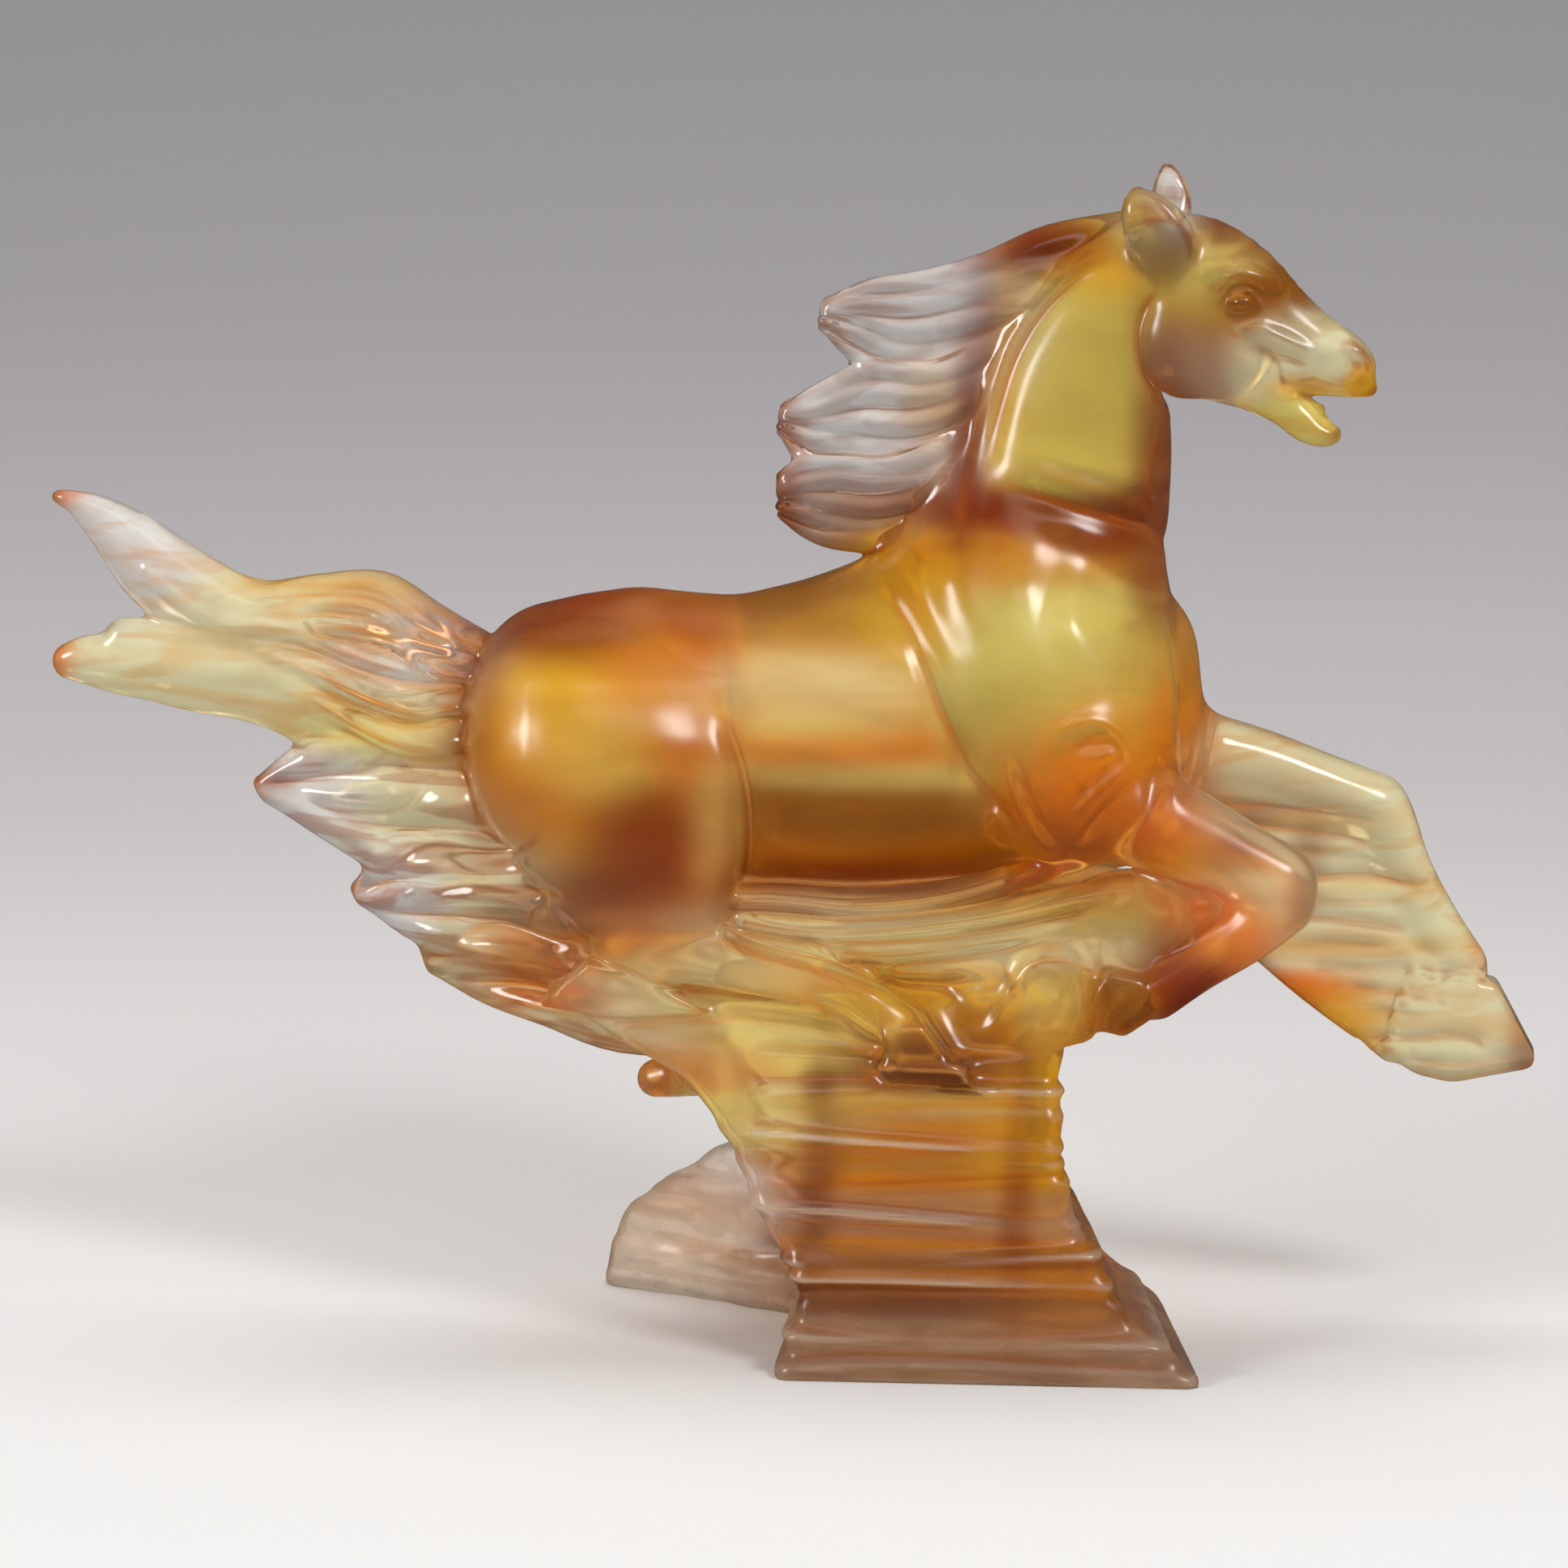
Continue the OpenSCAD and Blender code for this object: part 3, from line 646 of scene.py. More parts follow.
def sculpt_wave(clay):
    """The wave under the belly, with six tips thrown back."""
    form(clay, "wave_crest", [
        [-34, 1, 80, 16, 19, 10], [-6, -1, 79, 16, 19, 10], [26, -3, 79, 16, 19, 9],
        [52, -4, 82, 12, 17, 8], [68, -8, 82, 8, 11, 6],
    ], 4.0, 2)
    form(clay, "wave_belly", [
        [-22, 0, 67, 15, 18, 11], [4, -1, 62, 16, 21, 13], [28, -3, 61, 18, 22, 15], [42, -4, 65, 13, 19, 11],
    ], 5.0, 2)
    for side in (-1, 1):
        water(clay, "wave_crest", [
            [[-16, 85], [-2, 85.6], [14, 84.6], [30, 86.4], [46, 91], [58, 95]],
            [[-12, 81.6], [4, 80], [20, 80.6], [38, 83], [56, 87], [70, 90]],
            [[-6, 78], [10, 76], [26, 77], [44, 79.6], [60, 82.6], [78, 85]],
            [[14, 73], [28, 73.4], [42, 75.6], [56, 76.4], [66, 77], [74, 78]],
        ], side * 18.4, 2.2)
        water(clay, "wave_belly", [
            [[-42, 69], [-24, 67], [-6, 65.4], [8, 64], [20, 62.6]],
            [[-34, 64], [-18, 61.6], [-2, 60.4], [14, 58.4], [30, 57]],
            [[-26, 58], [-10, 56.4], [6, 55.4], [20, 53.6], [36, 54]],
            [[-14, 52.6], [2, 51], [14, 49.6], [30, 49.6], [38, 50]],
        ], side * 19.6, 1.7)
    form(
        clay, "wave_crest", [[62, -16, 83, 9, 8, 8], [72, -21, 83.6, 9, 4.6, 9], [80, -22.6, 86, 6, 3.6, 6]],
        2.0, 3,
    )
    form(clay, "wave_belly", [[52, -18, 74, 10, 8, 7], [64, -22, 75.6, 7, 4.6, 6]], 2.0, 2)
    form(
        clay, "wave_belly", [[40, -12, 70, 10, 13, 9], [54, -16, 70.6, 9, 9, 8], [61, -20, 70, 5, 6, 5.6]],
        3.0, 3,
    )
    strands(clay, "wave_tip_upper",
            [
                [-36, 111, 15], [-52, 110.4, 13], [-66, 110.4, 10.5], [-80, 109, 7.6], [-91, 106, 5],
                [-99, 102.6, 3],
            ],
            [
                [-28, 86, 16], [-46, 87, 14], [-60, 88.4, 11], [-73, 90.6, 8.4], [-86, 95, 5.6],
                [-97.4, 99.4, 3.2],
            ],
            3, 1.0, 2.6, 3.0)
    strands(clay, "wave_tip_middle",
            [[-28, 92, 17], [-44, 92, 15], [-60, 92, 12], [-72, 89, 8.4], [-81, 83, 3.2]],
            [[-22, 74, 17], [-38, 73.6, 15], [-54, 74, 12], [-68, 76, 8], [-79.6, 80, 3.2]],
            3, 1.0, 2.6, 3.0)
    strands(clay, "wave_tip_lower",
            [[-20, 79, 18], [-38, 78.4, 16], [-52, 77.4, 12], [-62, 74.6, 8.4], [-67.6, 71.4, 4]],
            [[-12, 60, 18], [-30, 59.6, 16], [-44, 62.6, 13], [-56, 64.6, 9], [-66.6, 67.6, 4.4]],
            3, 1.0, 2.6, 3.0)
    for side in (-1, 1):
        crease(clay, [[-64, 104], [-72, 99], [-84, 98.6], [-94, 101.6]], 1.3, 1.0, side)
        crease(clay, [[-42, 98], [-52, 92], [-66, 92], [-76, 87]], 1.4, 1.3, side)
        crease(clay, [[-34, 88], [-46, 84.6], [-58, 85.6], [-70, 82]], 1.3, 1.0, side)
        crease(clay, [[-30, 80], [-42, 76], [-54, 77.6], [-64, 73.6]], 1.4, 1.3, side)
        crease(clay, [[-22, 70], [-36, 68.6], [-48, 69.4], [-60, 69]], 1.2, 0.9, side)
    block(
        clay, "wave_tip_hock", [[-44, 66], [-30, 64], [-6, 65.4], [-24, 71.4], [-33, 76]], -21, 5.6, 1.4, 0.25,
    )
    form(
        clay, "wave_tip_small",
        [
            [0, -14, 55, 12, 12, 6], [-12, -15, 53, 8, 9, 4.8], [-19, -16, 51.6, 4.8, 5.4, 4],
            [-23, -16.4, 51, 3.6, 4, 3.5],
        ],
        2.6, 3,
    )
    leg_lines(clay)


def leg_lines(clay):
    """Lines that draw the folded hind legs out of the wave on the near side."""
    near = (-40.0, -12.0)
    crease(clay, [[-8.2, 84], [-7, 80.6], [-2, 78.8], [7, 77], [16, 73.8], [22, 70.6]], 1.1, 1.2, near)
    crease(clay, [[-12, 84], [-9.6, 79], [-2, 76], [7, 74.2], [16, 71.2], [20, 69]], 1.1, -1.0, near)
    crease(clay, [[-20, 70.6], [-8, 68.6], [4, 67], [13, 64.6]], 1.1, 1.0, near)
    ring = [
        [39.7, 63.9], [44.5, 73.3], [49.2, 76.3], [56.1, 75.1], [58.5, 71.1], [57.9, 65.1], [55, 61],
        [43.3, 60.4],
    ]
    crease(clay, ring, 1.1, -1.1, near)
    crease(clay, [[48, 66], [52, 68.4], [54, 71]], 3.0, 1.0, near)
    crease(clay, [[27.6, 71.2], [34, 73.4], [41, 72], [41.6, 70.2], [34, 69.2]], 0.9, -0.7, near)
    crease(clay, [[19.8, 64.6], [21.6, 59.6], [20.6, 54]], 1.0, -0.9, near)


def water(clay, name, rows, y, radius):
    """Lines of running water: slim raised forms along rows of [x, z] points."""
    for i, row in enumerate(rows):
        last = len(row) - 1
        points = []
        for j, p in enumerate(row):
            taper = 0.45 + 0.55 * math.sin(math.pi * (0.12 + 0.76 * j / last))
            side = y * (1.0 - 0.05 * math.sin(1.7 * i + j))
            points.append([p[0], side, p[1], radius, 2.6 * radius * taper, 1.25 * radius * taper])
        form(clay, name, points, 1.0, 3)


# Rock levels from the table up, each [z, x from, x to, y from, y to]
COLUMN_LEVELS = [
    [20, 1.6, 60.6, -34.6, 27], [28.4, -3, 56.4, -33.8, 27], [34.4, -5.6, 54.6, -33, 26],
    [40.6, -8, 53.2, -32, 25], [47.2, -12, 53.4, -30.6, 24], [53, -17, 52.6, -28.6, 22],
    [59, -28, 52.4, -26, 20], [66, -40, 52, -22, 17],
]
PLINTH_LEVELS = [
    [-3, 0.4, 79.6, -39.6, 22], [1.4, 0.8, 78, -39.4, 22.6], [4.8, 2, 75, -38.6, 23.4],
    [8.4, 2.8, 70.6, -38, 24],
    [11.6, 3.6, 66, -37.4, 25], [15.2, 4.4, 63.6, -36.8, 26], [24, 2, 59.6, -35.4, 27],
]
LEDGES = [-6, 3.4, 9.2, 15.4, 19.4, 23.4, 27.4, 31, 36, 40, 44.6, 48, 53, 60, 68]


def tower(levels, corner):
    """The distance to a rounded tower of rock whose plan changes with height."""
    rows = np.array(levels, float)

    def distance(x, y, z):
        x0, x1, y0, y1 = (np.interp(z, rows[:, 0], rows[:, i]) for i in range(1, 5))
        far = np.clip((y - y0) / (y1 - y0), 0.0, 1.0)
        x1 = x1 - 9.0 * far
        qx = np.abs(x - (x0 + x1) / 2) - (x1 - x0) / 2 + corner
        qy = np.abs(y - (y0 + y1) / 2) - (y1 - y0) / 2 + corner
        out = np.sqrt(np.maximum(qx, 0) ** 2 + np.maximum(qy, 0) ** 2)
        out = out + np.minimum(np.maximum(qx, qy), 0) - corner
        return np.maximum(out * 0.9, np.maximum(rows[0, 0] - z, z - rows[-1, 0]))

    return distance


def sculpt_rock(clay, wing_height):
    """The column, its foot, and the rear foot that curves away behind it."""
    clay.add("rock_column", tower(COLUMN_LEVELS, 4.0), [-40, -34, 20], [61, 27, 66], 3.0)
    clay.add("rock_plinth", tower(PLINTH_LEVELS, 2.4), [0, -40, -3], [80, 27, 24], 2.0)
    fins = [[8, 10, 1.0], [-6, 19, 0.84], [-16, 26, 0.62], [-25, 30.6, 0.46], [-32.6, 34, 0.3]]
    for a, b in zip(fins[:-1], fins[1:]):
        rows = [[f[0], f[1], -4, 5.6, 5.2, 5] for f in (a, b)]
        for share in (0.15, 0.45, 0.7, 0.9):
            form(clay, "rock_wing", [
                [f[0] + 1.6 * share, f[1], wing_height * f[2] * share, 6.4 - 2.4 * share, 5.4 - 2.4 * share, 6]
                for f in (a, b)
            ], 2.0, 1)
        form(clay, "rock_wing", rows, 2.0, 1)

    def strata(x, y, z):
        """Each layer swells towards its upper lip, where a thin edge stands proud."""
        lines = [
            h + (0.9 + 0.5 * (i % 2)) * np.sin((0.04 + 0.012 * (i % 3)) * x + 2.3 * i + 0.045 * y)
            + 0.03 * math.sin(1.7 * i + 0.4) * (x - 25)
            for i, h in enumerate(LEDGES)
        ]
        out = 0.6
        for i, (low, high) in enumerate(zip(lines[:-1], lines[1:])):
            share = np.clip((z - low) / np.maximum(high - low, 0.5), 0.0, 1.0)
            swell = share**1.3 * np.clip((high - z) / 1.9, 0.0, 1.0)
            proud = 0.8 + 0.5 * math.sin(2.3 * i)
            fades = np.clip(0.6 + 0.6 * np.sin(0.075 * x + 2.1 * i), 0.2, 1.0)
            lip = fades * np.exp(-(((z - high + 1.4) / 0.8) ** 2))
            out = out - proud * (1.5 * np.where((z >= low) & (z < high), swell, 0.0) + 0.7 * lip)
        # the rear foot and the far side were worn smoother
        worn = np.clip((x + 12.0) / 8.0, 0.6, 1.0) * np.clip((20.0 - y) / 30.0, 0.6, 1.0)
        worn = np.where((x < -4) & (z > 43), worn * np.clip((46.0 - z) / 3.0, 0.0, 1.0), worn)
        return out * worn * np.clip((66.0 - z) / 12.0, 0.0, 1.0)

    clay.rub(ROCK_RUB, [-44, -42, -6], [84, 42, 26])
    clay.press(strata, [-44, -42, -3], [84, 42, 64])


# ------------------------------------------------------------------ the casting


CORNERS = [(i, j, k) for i in (0, 1) for j in (0, 1) for k in (0, 1)]
CUBE_EDGES = [
    (a, b) for a in range(8) for b in range(a + 1, 8)
    if sum(abs(CORNERS[a][n] - CORNERS[b][n]) for n in range(3)) == 1
]


def sample(grid, low, step, points):
    """The grid's value at points, read between its eight neighbours."""
    p = (points - low) / step
    base = np.clip(np.floor(p).astype(int), 0, np.array(grid.shape) - 2)
    t = p - base
    out = 0.0
    for i, j, k in CORNERS:
        w = 1.0
        for axis, corner in enumerate((i, j, k)):
            w = w * (t[:, axis] if corner else 1 - t[:, axis])
        out = out + w * grid[base[:, 0] + i, base[:, 1] + j, base[:, 2] + k]
    return out


def gradient(grid, low, step, points):
    reach = 0.9 * step
    out = np.zeros_like(points)
    for i in range(3):
        shift = np.zeros(3)
        shift[i] = reach
        ahead, behind = (sample(grid, low, step, points + way * shift) for way in (1, -1))
        out[:, i] = (ahead - behind) / (2 * reach)
    return out


def even_out(points, quads, on_skin):
    """Slides the skin's points towards the middle of their neighbours, so faces stay even."""
    ends = np.vstack([quads[:, [i, (i + 1) % 4]] for i in range(4)])
    ends = ends[on_skin[ends].all(1)]
    ends = np.vstack([ends, ends[:, ::-1]])
    count = np.maximum(np.bincount(ends[:, 0], minlength=len(points)), 1)
    for _ in range(3):
        for i in range(3):
            middle = np.bincount(ends[:, 0], weights=points[ends[:, 1], i], minlength=len(points)) / count
            points[on_skin, i] += 0.6 * (middle - points[:, i])[on_skin]


def cast(clay):
    """Turns the clay into skins: one shared set of points, and each form's faces.

    Every grid edge whose two ends belong to different forms, or to a form and the
    air, makes one four-sided face, so the forms close and meet on the same points.
    """
    label = np.where(clay.field < 0, clay.owner, 0).astype(np.uint8)
    for axis in range(3):
        for end in (0, -1):
            cut = [slice(None)] * 3
            cut[axis] = end
            label[tuple(cut)] = 0
    quads, sides = [], []
    for axis in range(3):
        here, there = [slice(None)] * 3, [slice(None)] * 3
        here[axis], there[axis] = slice(0, -1), slice(1, None)
        a, b = label[tuple(here)], label[tuple(there)]
        at = np.argwhere(a != b)
        keep = np.ones(len(at), bool)
        u, v = (axis + 1) % 3, (axis + 2) % 3
        keep &= (at[:, u] > 0) & (at[:, v] > 0)
        at = at[keep]
        la, lb = a[tuple(at.T)], b[tuple(at.T)]
        corners = []
        for du, dv in ((1, 1), (0, 1), (0, 0), (1, 0)):
            c = at.copy()
            c[:, u] -= du
            c[:, v] -= dv
            corners.append(c)
        shape = np.array(clay.field.shape)
        flat = [np.ravel_multi_index(tuple(c.T), shape) for c in corners]
        quads.append(np.column_stack(flat))
        sides.append(np.column_stack([la, lb]))
    quads, sides = np.vstack(quads), np.vstack(sides)
    cells, quads = np.unique(quads, return_inverse=True)
    quads = quads.reshape(-1, 4)
    index = np.array(np.unravel_index(cells, clay.field.shape)).T
    value = [clay.field[tuple((index + c).T)] for c in CORNERS]
    mark = [label[tuple((index + c).T)] for c in CORNERS]
    total, count = np.zeros((len(cells), 3)), np.zeros(len(cells))
    inner, inner_count = np.zeros((len(cells), 3)), np.zeros(len(cells))
    for a, b in CUBE_EDGES:
        ca, cb = np.array(CORNERS[a], float), np.array(CORNERS[b], float)
        outer = (mark[a] > 0) != (mark[b] > 0)
        t = np.where(outer, value[a] / np.where(outer, value[a] - value[b], 1.0), 0.5)
        t = np.clip(t, 0.0, 1.0)
        point = ca + (cb - ca) * t[:, None]
        total += point * outer[:, None]
        count += outer
        cut = (mark[a] != mark[b]) & ~outer
        inner += point * cut[:, None]
        inner_count += cut
    on_skin = count > 0
    local = np.where(
        on_skin[:, None], total / np.maximum(count, 1)[:, None], inner / np.maximum(inner_count, 1)[:, None],
    )
    points = clay.low + clay.step * (index + local)
    even_out(points, quads, on_skin)
    skin = points[on_skin]
    for _ in range(2):
        g = gradient(clay.field, clay.low, clay.step, skin)
        size2 = np.maximum((g * g).sum(1), 0.09)
        move = -(sample(clay.field, clay.low, clay.step, skin) / size2)[:, None] * g
        reach = np.linalg.norm(move, axis=1, keepdims=True)
        skin = skin + move * np.minimum(1.0, 0.35 * clay.step / np.maximum(reach, 1e-6))
    points[on_skin] = skin
    # the shading follows a slightly rubbed copy of the clay, so the grid never shows in a highlight
    worked = clay.field.copy()
    clay.rub(SHADE_RUB * clay.step, clay.low, [axis[-1] for axis in clay.axes])
    normals = np.zeros_like(points)
    g = gradient(clay.field, clay.low, clay.step, skin)
    clay.field = worked
    normals[on_skin] = g / np.maximum(np.linalg.norm(g, axis=1, keepdims=True), 1e-6)
    return points, normals, quads, sides


def mesh_piece(name, number, points, normals, colours, quads, sides):
    """One form's closed skin. Slot 0 is its outer glass, slot 1 where it runs on."""
    front, back = sides[:, 0] == number, sides[:, 1] == number
    faces = np.vstack([quads[front], quads[back][:, ::-1]])
    cut = np.concatenate([sides[front, 1] > 0, sides[back, 0] > 0])
    used, faces = np.unique(faces, return_inverse=True)
    faces = faces.reshape(-1, 4)
    mesh = bpy.data.meshes.new(name)
    mesh.vertices.add(len(used))
    mesh.vertices.foreach_set("co", (points[used] * MM).astype(np.float32).ravel())
    mesh.loops.add(faces.size)
    mesh.loops.foreach_set("vertex_index", faces.ravel().astype(np.int32))
    mesh.polygons.add(len(faces))
    mesh.polygons.foreach_set("loop_start", np.arange(0, faces.size, 4, dtype=np.int32))
    mesh.polygons.foreach_set("material_index", cut.astype(np.int32))
    mesh.update(calc_edges=True)
    # the pour colour holds the glass's own colour with painted shade and painted highlights laid in
    layer = mesh.color_attributes.new("pour", "FLOAT_COLOR", "POINT")
    rgba = np.column_stack([colours[used], np.ones(len(used))])
    layer.data.foreach_set("color", rgba.astype(np.float32).ravel())
    mesh.shade_smooth()
    flat = np.zeros(len(mesh.polygons) * 3, np.float32)
    mesh.polygons.foreach_get("normal", flat)
    flat = flat.reshape(-1, 3)
    corner = normals[used][faces]
    corner[cut] = flat[cut][:, None, :]
    mesh.normals_split_custom_set(corner.reshape(-1, 3).tolist())
    ob = bpy.data.objects.new(name, mesh)
    bpy.context.scene.collection.objects.link(ob)
    return ob


# ------------------------------------------------------------ the pour of colour, painted shade and highlights


# Where each glass was laid in the mould, with two painted highlights marked below: [glass, x, z, reach in x,
# reach in z, strength]
POURS_AND_HIGHLIGHTS = [
    ["rust", -44, 138, 18, 6, 6], ["rust", -28, 137, 12, 5, 5], ["orange", -20, 129, 9, 8, 7],
    ["rust", -57, 122, 5, 14, 3],
    ["bronze", -6, 139, 16, 5, 5], ["orange", -13, 118, 6, 14, 2.4], ["gold", -40, 118, 16, 10, 1.8],
    # the straw down the flank fold at x -11 is partly pale glass and partly a painted highlight along the fold
    ["straw", -34, 113, 10, 7, 1.2], ["amber", -48, 104, 12, 8, 1.6], ["straw", -11, 104, 4, 12, 2.8],
    ["amber", -10, 89, 6, 8, 1.8],
    ["rust", -24, 96, 10, 8, 3], ["mauve", -30, 87, 14, 7, 3], ["amber", -22, 80, 12, 6, 1.8],
    ["gold", -38, 94, 8, 5, 0.8],
    # painted highlight: the straw and lemon band across the upper barrel, z 123 to 125, is pale glass
    # brightened into the broad soft highlight along it
    ["bronze", 10, 138, 18, 4.5, 4], ["amber", 4, 131, 18, 3.5, 1.6], ["straw", 0, 123, 17, 6.4, 4],
    ["lemon", 2, 125, 15, 4, 5],
    ["orange", 4, 114, 22, 3.5, 2.4], ["straw", 10, 109, 20, 2.5, 1.3], ["bronze", 6, 102, 24, 5, 2.2],
    ["amber", 10, 95, 22, 3, 1.2], ["rust", 12, 87.5, 28, 5, 2.8], ["gold", 23, 140, 8, 10, 3],
    ["moss", 44, 132, 14, 9, 1.8], ["olive", 42, 119, 9, 10, 1.6], ["amber", 40, 147, 18, 4, 2],
    ["straw", 50, 138, 8, 6, 1.4], ["olive", 62, 126, 9, 10, 1.4], ["amber", 71, 116, 4, 16, 2],
    ["gold", 60, 114, 8, 6, 0.9],
    ["orange", 57, 107, 9, 8, 4], ["rust", 56, 98, 9, 4, 2.4], ["amber", 45, 102, 5, 12, 1.8],
    ["rust", 46, 156.4, 22, 2.4, 7], ["rust", 60, 152, 12, 2.6, 4], ["olive", 52, 168, 10, 10, 2.6],
    ["olive", 54, 186, 9, 10, 2.4],
    ["gold", 40, 182, 3.4, 14, 1.4], ["mauve", 69, 168, 4, 16, 5], ["mauve", 69, 148, 4, 10, 4],
    ["gold", 58, 199, 8, 4, 1.2], ["straw", 78, 204, 7, 4, 1.2], ["bronze", 80, 192, 10, 6, 1.2],
    ["rust", 82, 207, 8, 3.4, 4],
    ["bronze", 91, 197, 7, 3, 2.4], ["bronze", 86, 194, 4, 3, 1.6], ["smoke", 72, 183, 6, 6, 1.8],
    ["olive", 74, 196, 8, 6, 1.2],
    ["lemon", 97, 187, 7, 4, 2.4], ["lemon", 89, 185, 6, 5, 2.2], ["straw", 76, 200, 5, 4, 1.4],
    ["gold", 105, 180, 2.4, 3, 1.6], ["gold", 93, 179, 4, 1.8, 1.8],
    ["straw", 95, 172, 7, 4, 2], ["smoke", 66, 208, 4, 6, 1.4], ["straw", 66, 208, 4, 6, 1.6],
    ["mauve", 69, 203, 4, 3, 2],
    ["clear", 71, 214, 4, 6, 5], ["clear", 16, 188, 18, 10, 4], ["clear", 8, 170, 16, 10, 3],
    ["smoke", 14, 156, 12, 4, 1.8], ["rust", 46, 202.6, 10, 2.6, 3], ["rust", 33, 168, 2.4, 16, 3],
    ["rust", 36, 186, 3, 8, 2],
    ["gold", 26, 176, 6, 8, 1.0], ["rust", -1, 172, 3, 3, 2.4], ["rust", -1, 158, 3, 6, 2],
    ["orange", 1, 166, 2.4, 3, 1.6],
    ["clear", -124, 146, 12, 10, 4], ["lemon", -108, 130, 14, 8, 2.4], ["lemon", -88, 136, 16, 6, 2],
    ["lemon", -124, 124, 10, 5, 2.4],
    ["orange", -137, 126, 3, 4, 2.4], ["orange", -135, 156, 3, 2.4, 1.4], ["clear", -70, 128, 12, 8, 2.4],
    ["straw", -78, 116, 16, 6, 1.2], ["lemon", -100, 118, 16, 4, 2.4], ["gold", -72, 139, 16, 2.4, 1.8],
    ["gold", -92, 140, 12, 2, 1.4],
    ["clear", -90, 100, 9, 6, 4], ["rust", -97, 103, 5, 2.4, 2.4], ["lemon", -68, 100, 12, 7, 2.4],
    ["clear", -74, 82, 8, 6, 4], ["rust", -80, 82, 4, 3, 1.6], ["lemon", -54, 88, 12, 7, 2],
    ["lemon", -62, 70, 7, 5, 3], ["rust", -66, 70, 3, 3, 1.4], ["copper", -54, 70, 8, 4, 1.6],
    ["rust", -50, 81, 6, 2.4, 1.4],
    ["orange", -40, 67, 10, 3, 1.4], ["lemon", -28, 64, 12, 6, 1.8], ["copper", -18, 57, 12, 4, 1.6],
    ["lemon", 8, 82, 24, 3.6, 3.4], ["straw", 26, 79, 16, 4, 2.2], ["straw", 46, 82, 18, 5, 2],
    ["lemon", 52, 78, 14, 3, 1.6],
    ["gold", 20, 70, 20, 5, 2.4], ["straw", 2, 64, 20, 5, 1.8], ["gold", 34, 85, 22, 1.4, 1.4],
    ["straw", -10, 72, 14, 6, 1.4], ["amber", 34, 64, 14, 4, 1.4],
    ["umber", 28, 57.4, 9, 4, 9], ["gold", 50, 68, 7, 5, 4], ["straw", 50, 69, 5, 4, 5],
    ["lemon", 38, 77, 12, 4, 2.4], ["lemon", -6, 73, 14, 4, 2.0], ["straw", 40, 70, 5, 3, 2],
    ["copper", 60, 90, 8, 4, 1.6],
    ["orange", 70, 102, 10, 5, 1.6], ["rust", 86, 97, 8, 3, 3], ["rust", 96, 90, 3, 7, 4],
    ["gold", 74, 96, 8, 4, 1.4],
    ["orange", 82, 84, 8, 6, 5], ["gold", 84, 80, 5, 4, 1.4], ["rust", 74, 74, 8, 6, 2.4],
    ["bronze", 62, 68, 6, 6, 3],
    ["lemon", 96, 105, 16, 6, 4], ["orange", 119, 98, 2.4, 6, 2], ["lemon", 98, 90, 14, 10, 4],
    ["lemon", 110, 78, 12, 10, 3.4], ["orange", 97, 64, 8, 2.4, 3], ["lemon", 122, 60, 12, 9, 4],
    ["rust", 136, 60, 2.4, 8, 2.4], ["gold", 106, 54, 5, 3, 1.6], ["gold", 96, 95, 12, 1.4, 2],
    ["gold", 102, 84, 14, 1.6, 2.4], ["gold", 110, 73, 13, 1.4, 2.2], ["gold", 103, 59, 7, 4, 3],
    ["orange", 128, 76, 2, 8, 1.6],
    ["straw", 6, 46, 14, 4, 1.6], ["amber", 26, 45, 18, 5, 1.8], ["gold", 44, 42, 8, 10, 1.4],
    ["straw", 30, 49, 12, 2.4, 1.6],
    ["umber", 8, 38, 2.4, 12, 3.6], ["amber", 24, 36, 16, 3, 1.6], ["rust", 44, 32, 2.4, 16, 3.4],
    ["bronze", 22, 40, 18, 2.4, 3], ["bronze", 28, 47, 16, 2, 2.4], ["smoke", 30, 33, 20, 1.6, 2],
    ["amber", 22, 24, 20, 3, 1.4], ["smoke", 34, 28.6, 26, 1.8, 3], ["smoke", 40, 4, 36, 5, 4],
    ["umber", 32, 15, 28, 2.4, 3], ["umber", 30, 21.6, 24, 1.6, 2.4], ["amber", 34, 19, 22, 1.6, 1.6],
    ["amber", 52, 14, 10, 6, 1.6],
    ["blush", -26, 12, 12, 12, 4], ["copper", -22, 20, 12, 5, 1.6], ["clear", -16, 28, 10, 8, 3.4],
    ["blush", -34, 8, 8, 8, 2], ["copper", -22, 9, 10, 2, 1.8], ["copper", -28, 16, 12, 2, 1.4],
    ["gold", -20, 25, 8, 1.6, 0.8],
]


def linear(colour):
    """A colour written as sRGB hex, as the linear light that Blender works in."""
    parts = [int(colour[i : i + 2], 16) / 255.0 for i in (1, 3, 5)]
    return [c / 12.92 if c <= 0.04045 else ((c + 0.055) / 1.055) ** 2.4 for c in parts]


GLASSES = {
    "rust": ("#942f02", "Rust", "Deep red-brown of the rump, belly and neck line"),
    "orange": ("#ff8406", "Orange", "Clear orange of the haunch and elbow"),
    "amber": ("#e88608", "Amber", "The main warm body colour"),
    "gold": ("#ffbe14", "Gold", "Bright gold of the haunch and rock"),
    "straw": ("#ffee86", "Straw", "Pale yellow bands of barrel and water"),
    "lemon": ("#fffacc", "Lemon", "Palest yellow of tail and spray"),
    "olive": ("#e6cc5e", "Olive", "Yellow-green of neck, head and shoulder"),
    "moss": ("#ece27c", "Moss", "Greenest part of neck and shoulder"),
    "bronze": ("#b06a10", "Bronze", "Brown band along the back"),
    "umber": ("#7c3c18", "Umber", "Dark brown veins"),
    "mauve": ("#984a24", "Mauve", "Brown-violet of the throat"),
    "copper": ("#f6a650", "Copper", "Warm tips of tail and water"),
    "smoke": ("#c49c7c", "Smoke", "Brown-grey foot of the rock"),
    "blush": ("#fdecd6", "Blush", "Nearly clear peach of the rear foot"),
    "clear": ("#fffdf8", "Clear", "Colourless glass of mane and tips"),
}


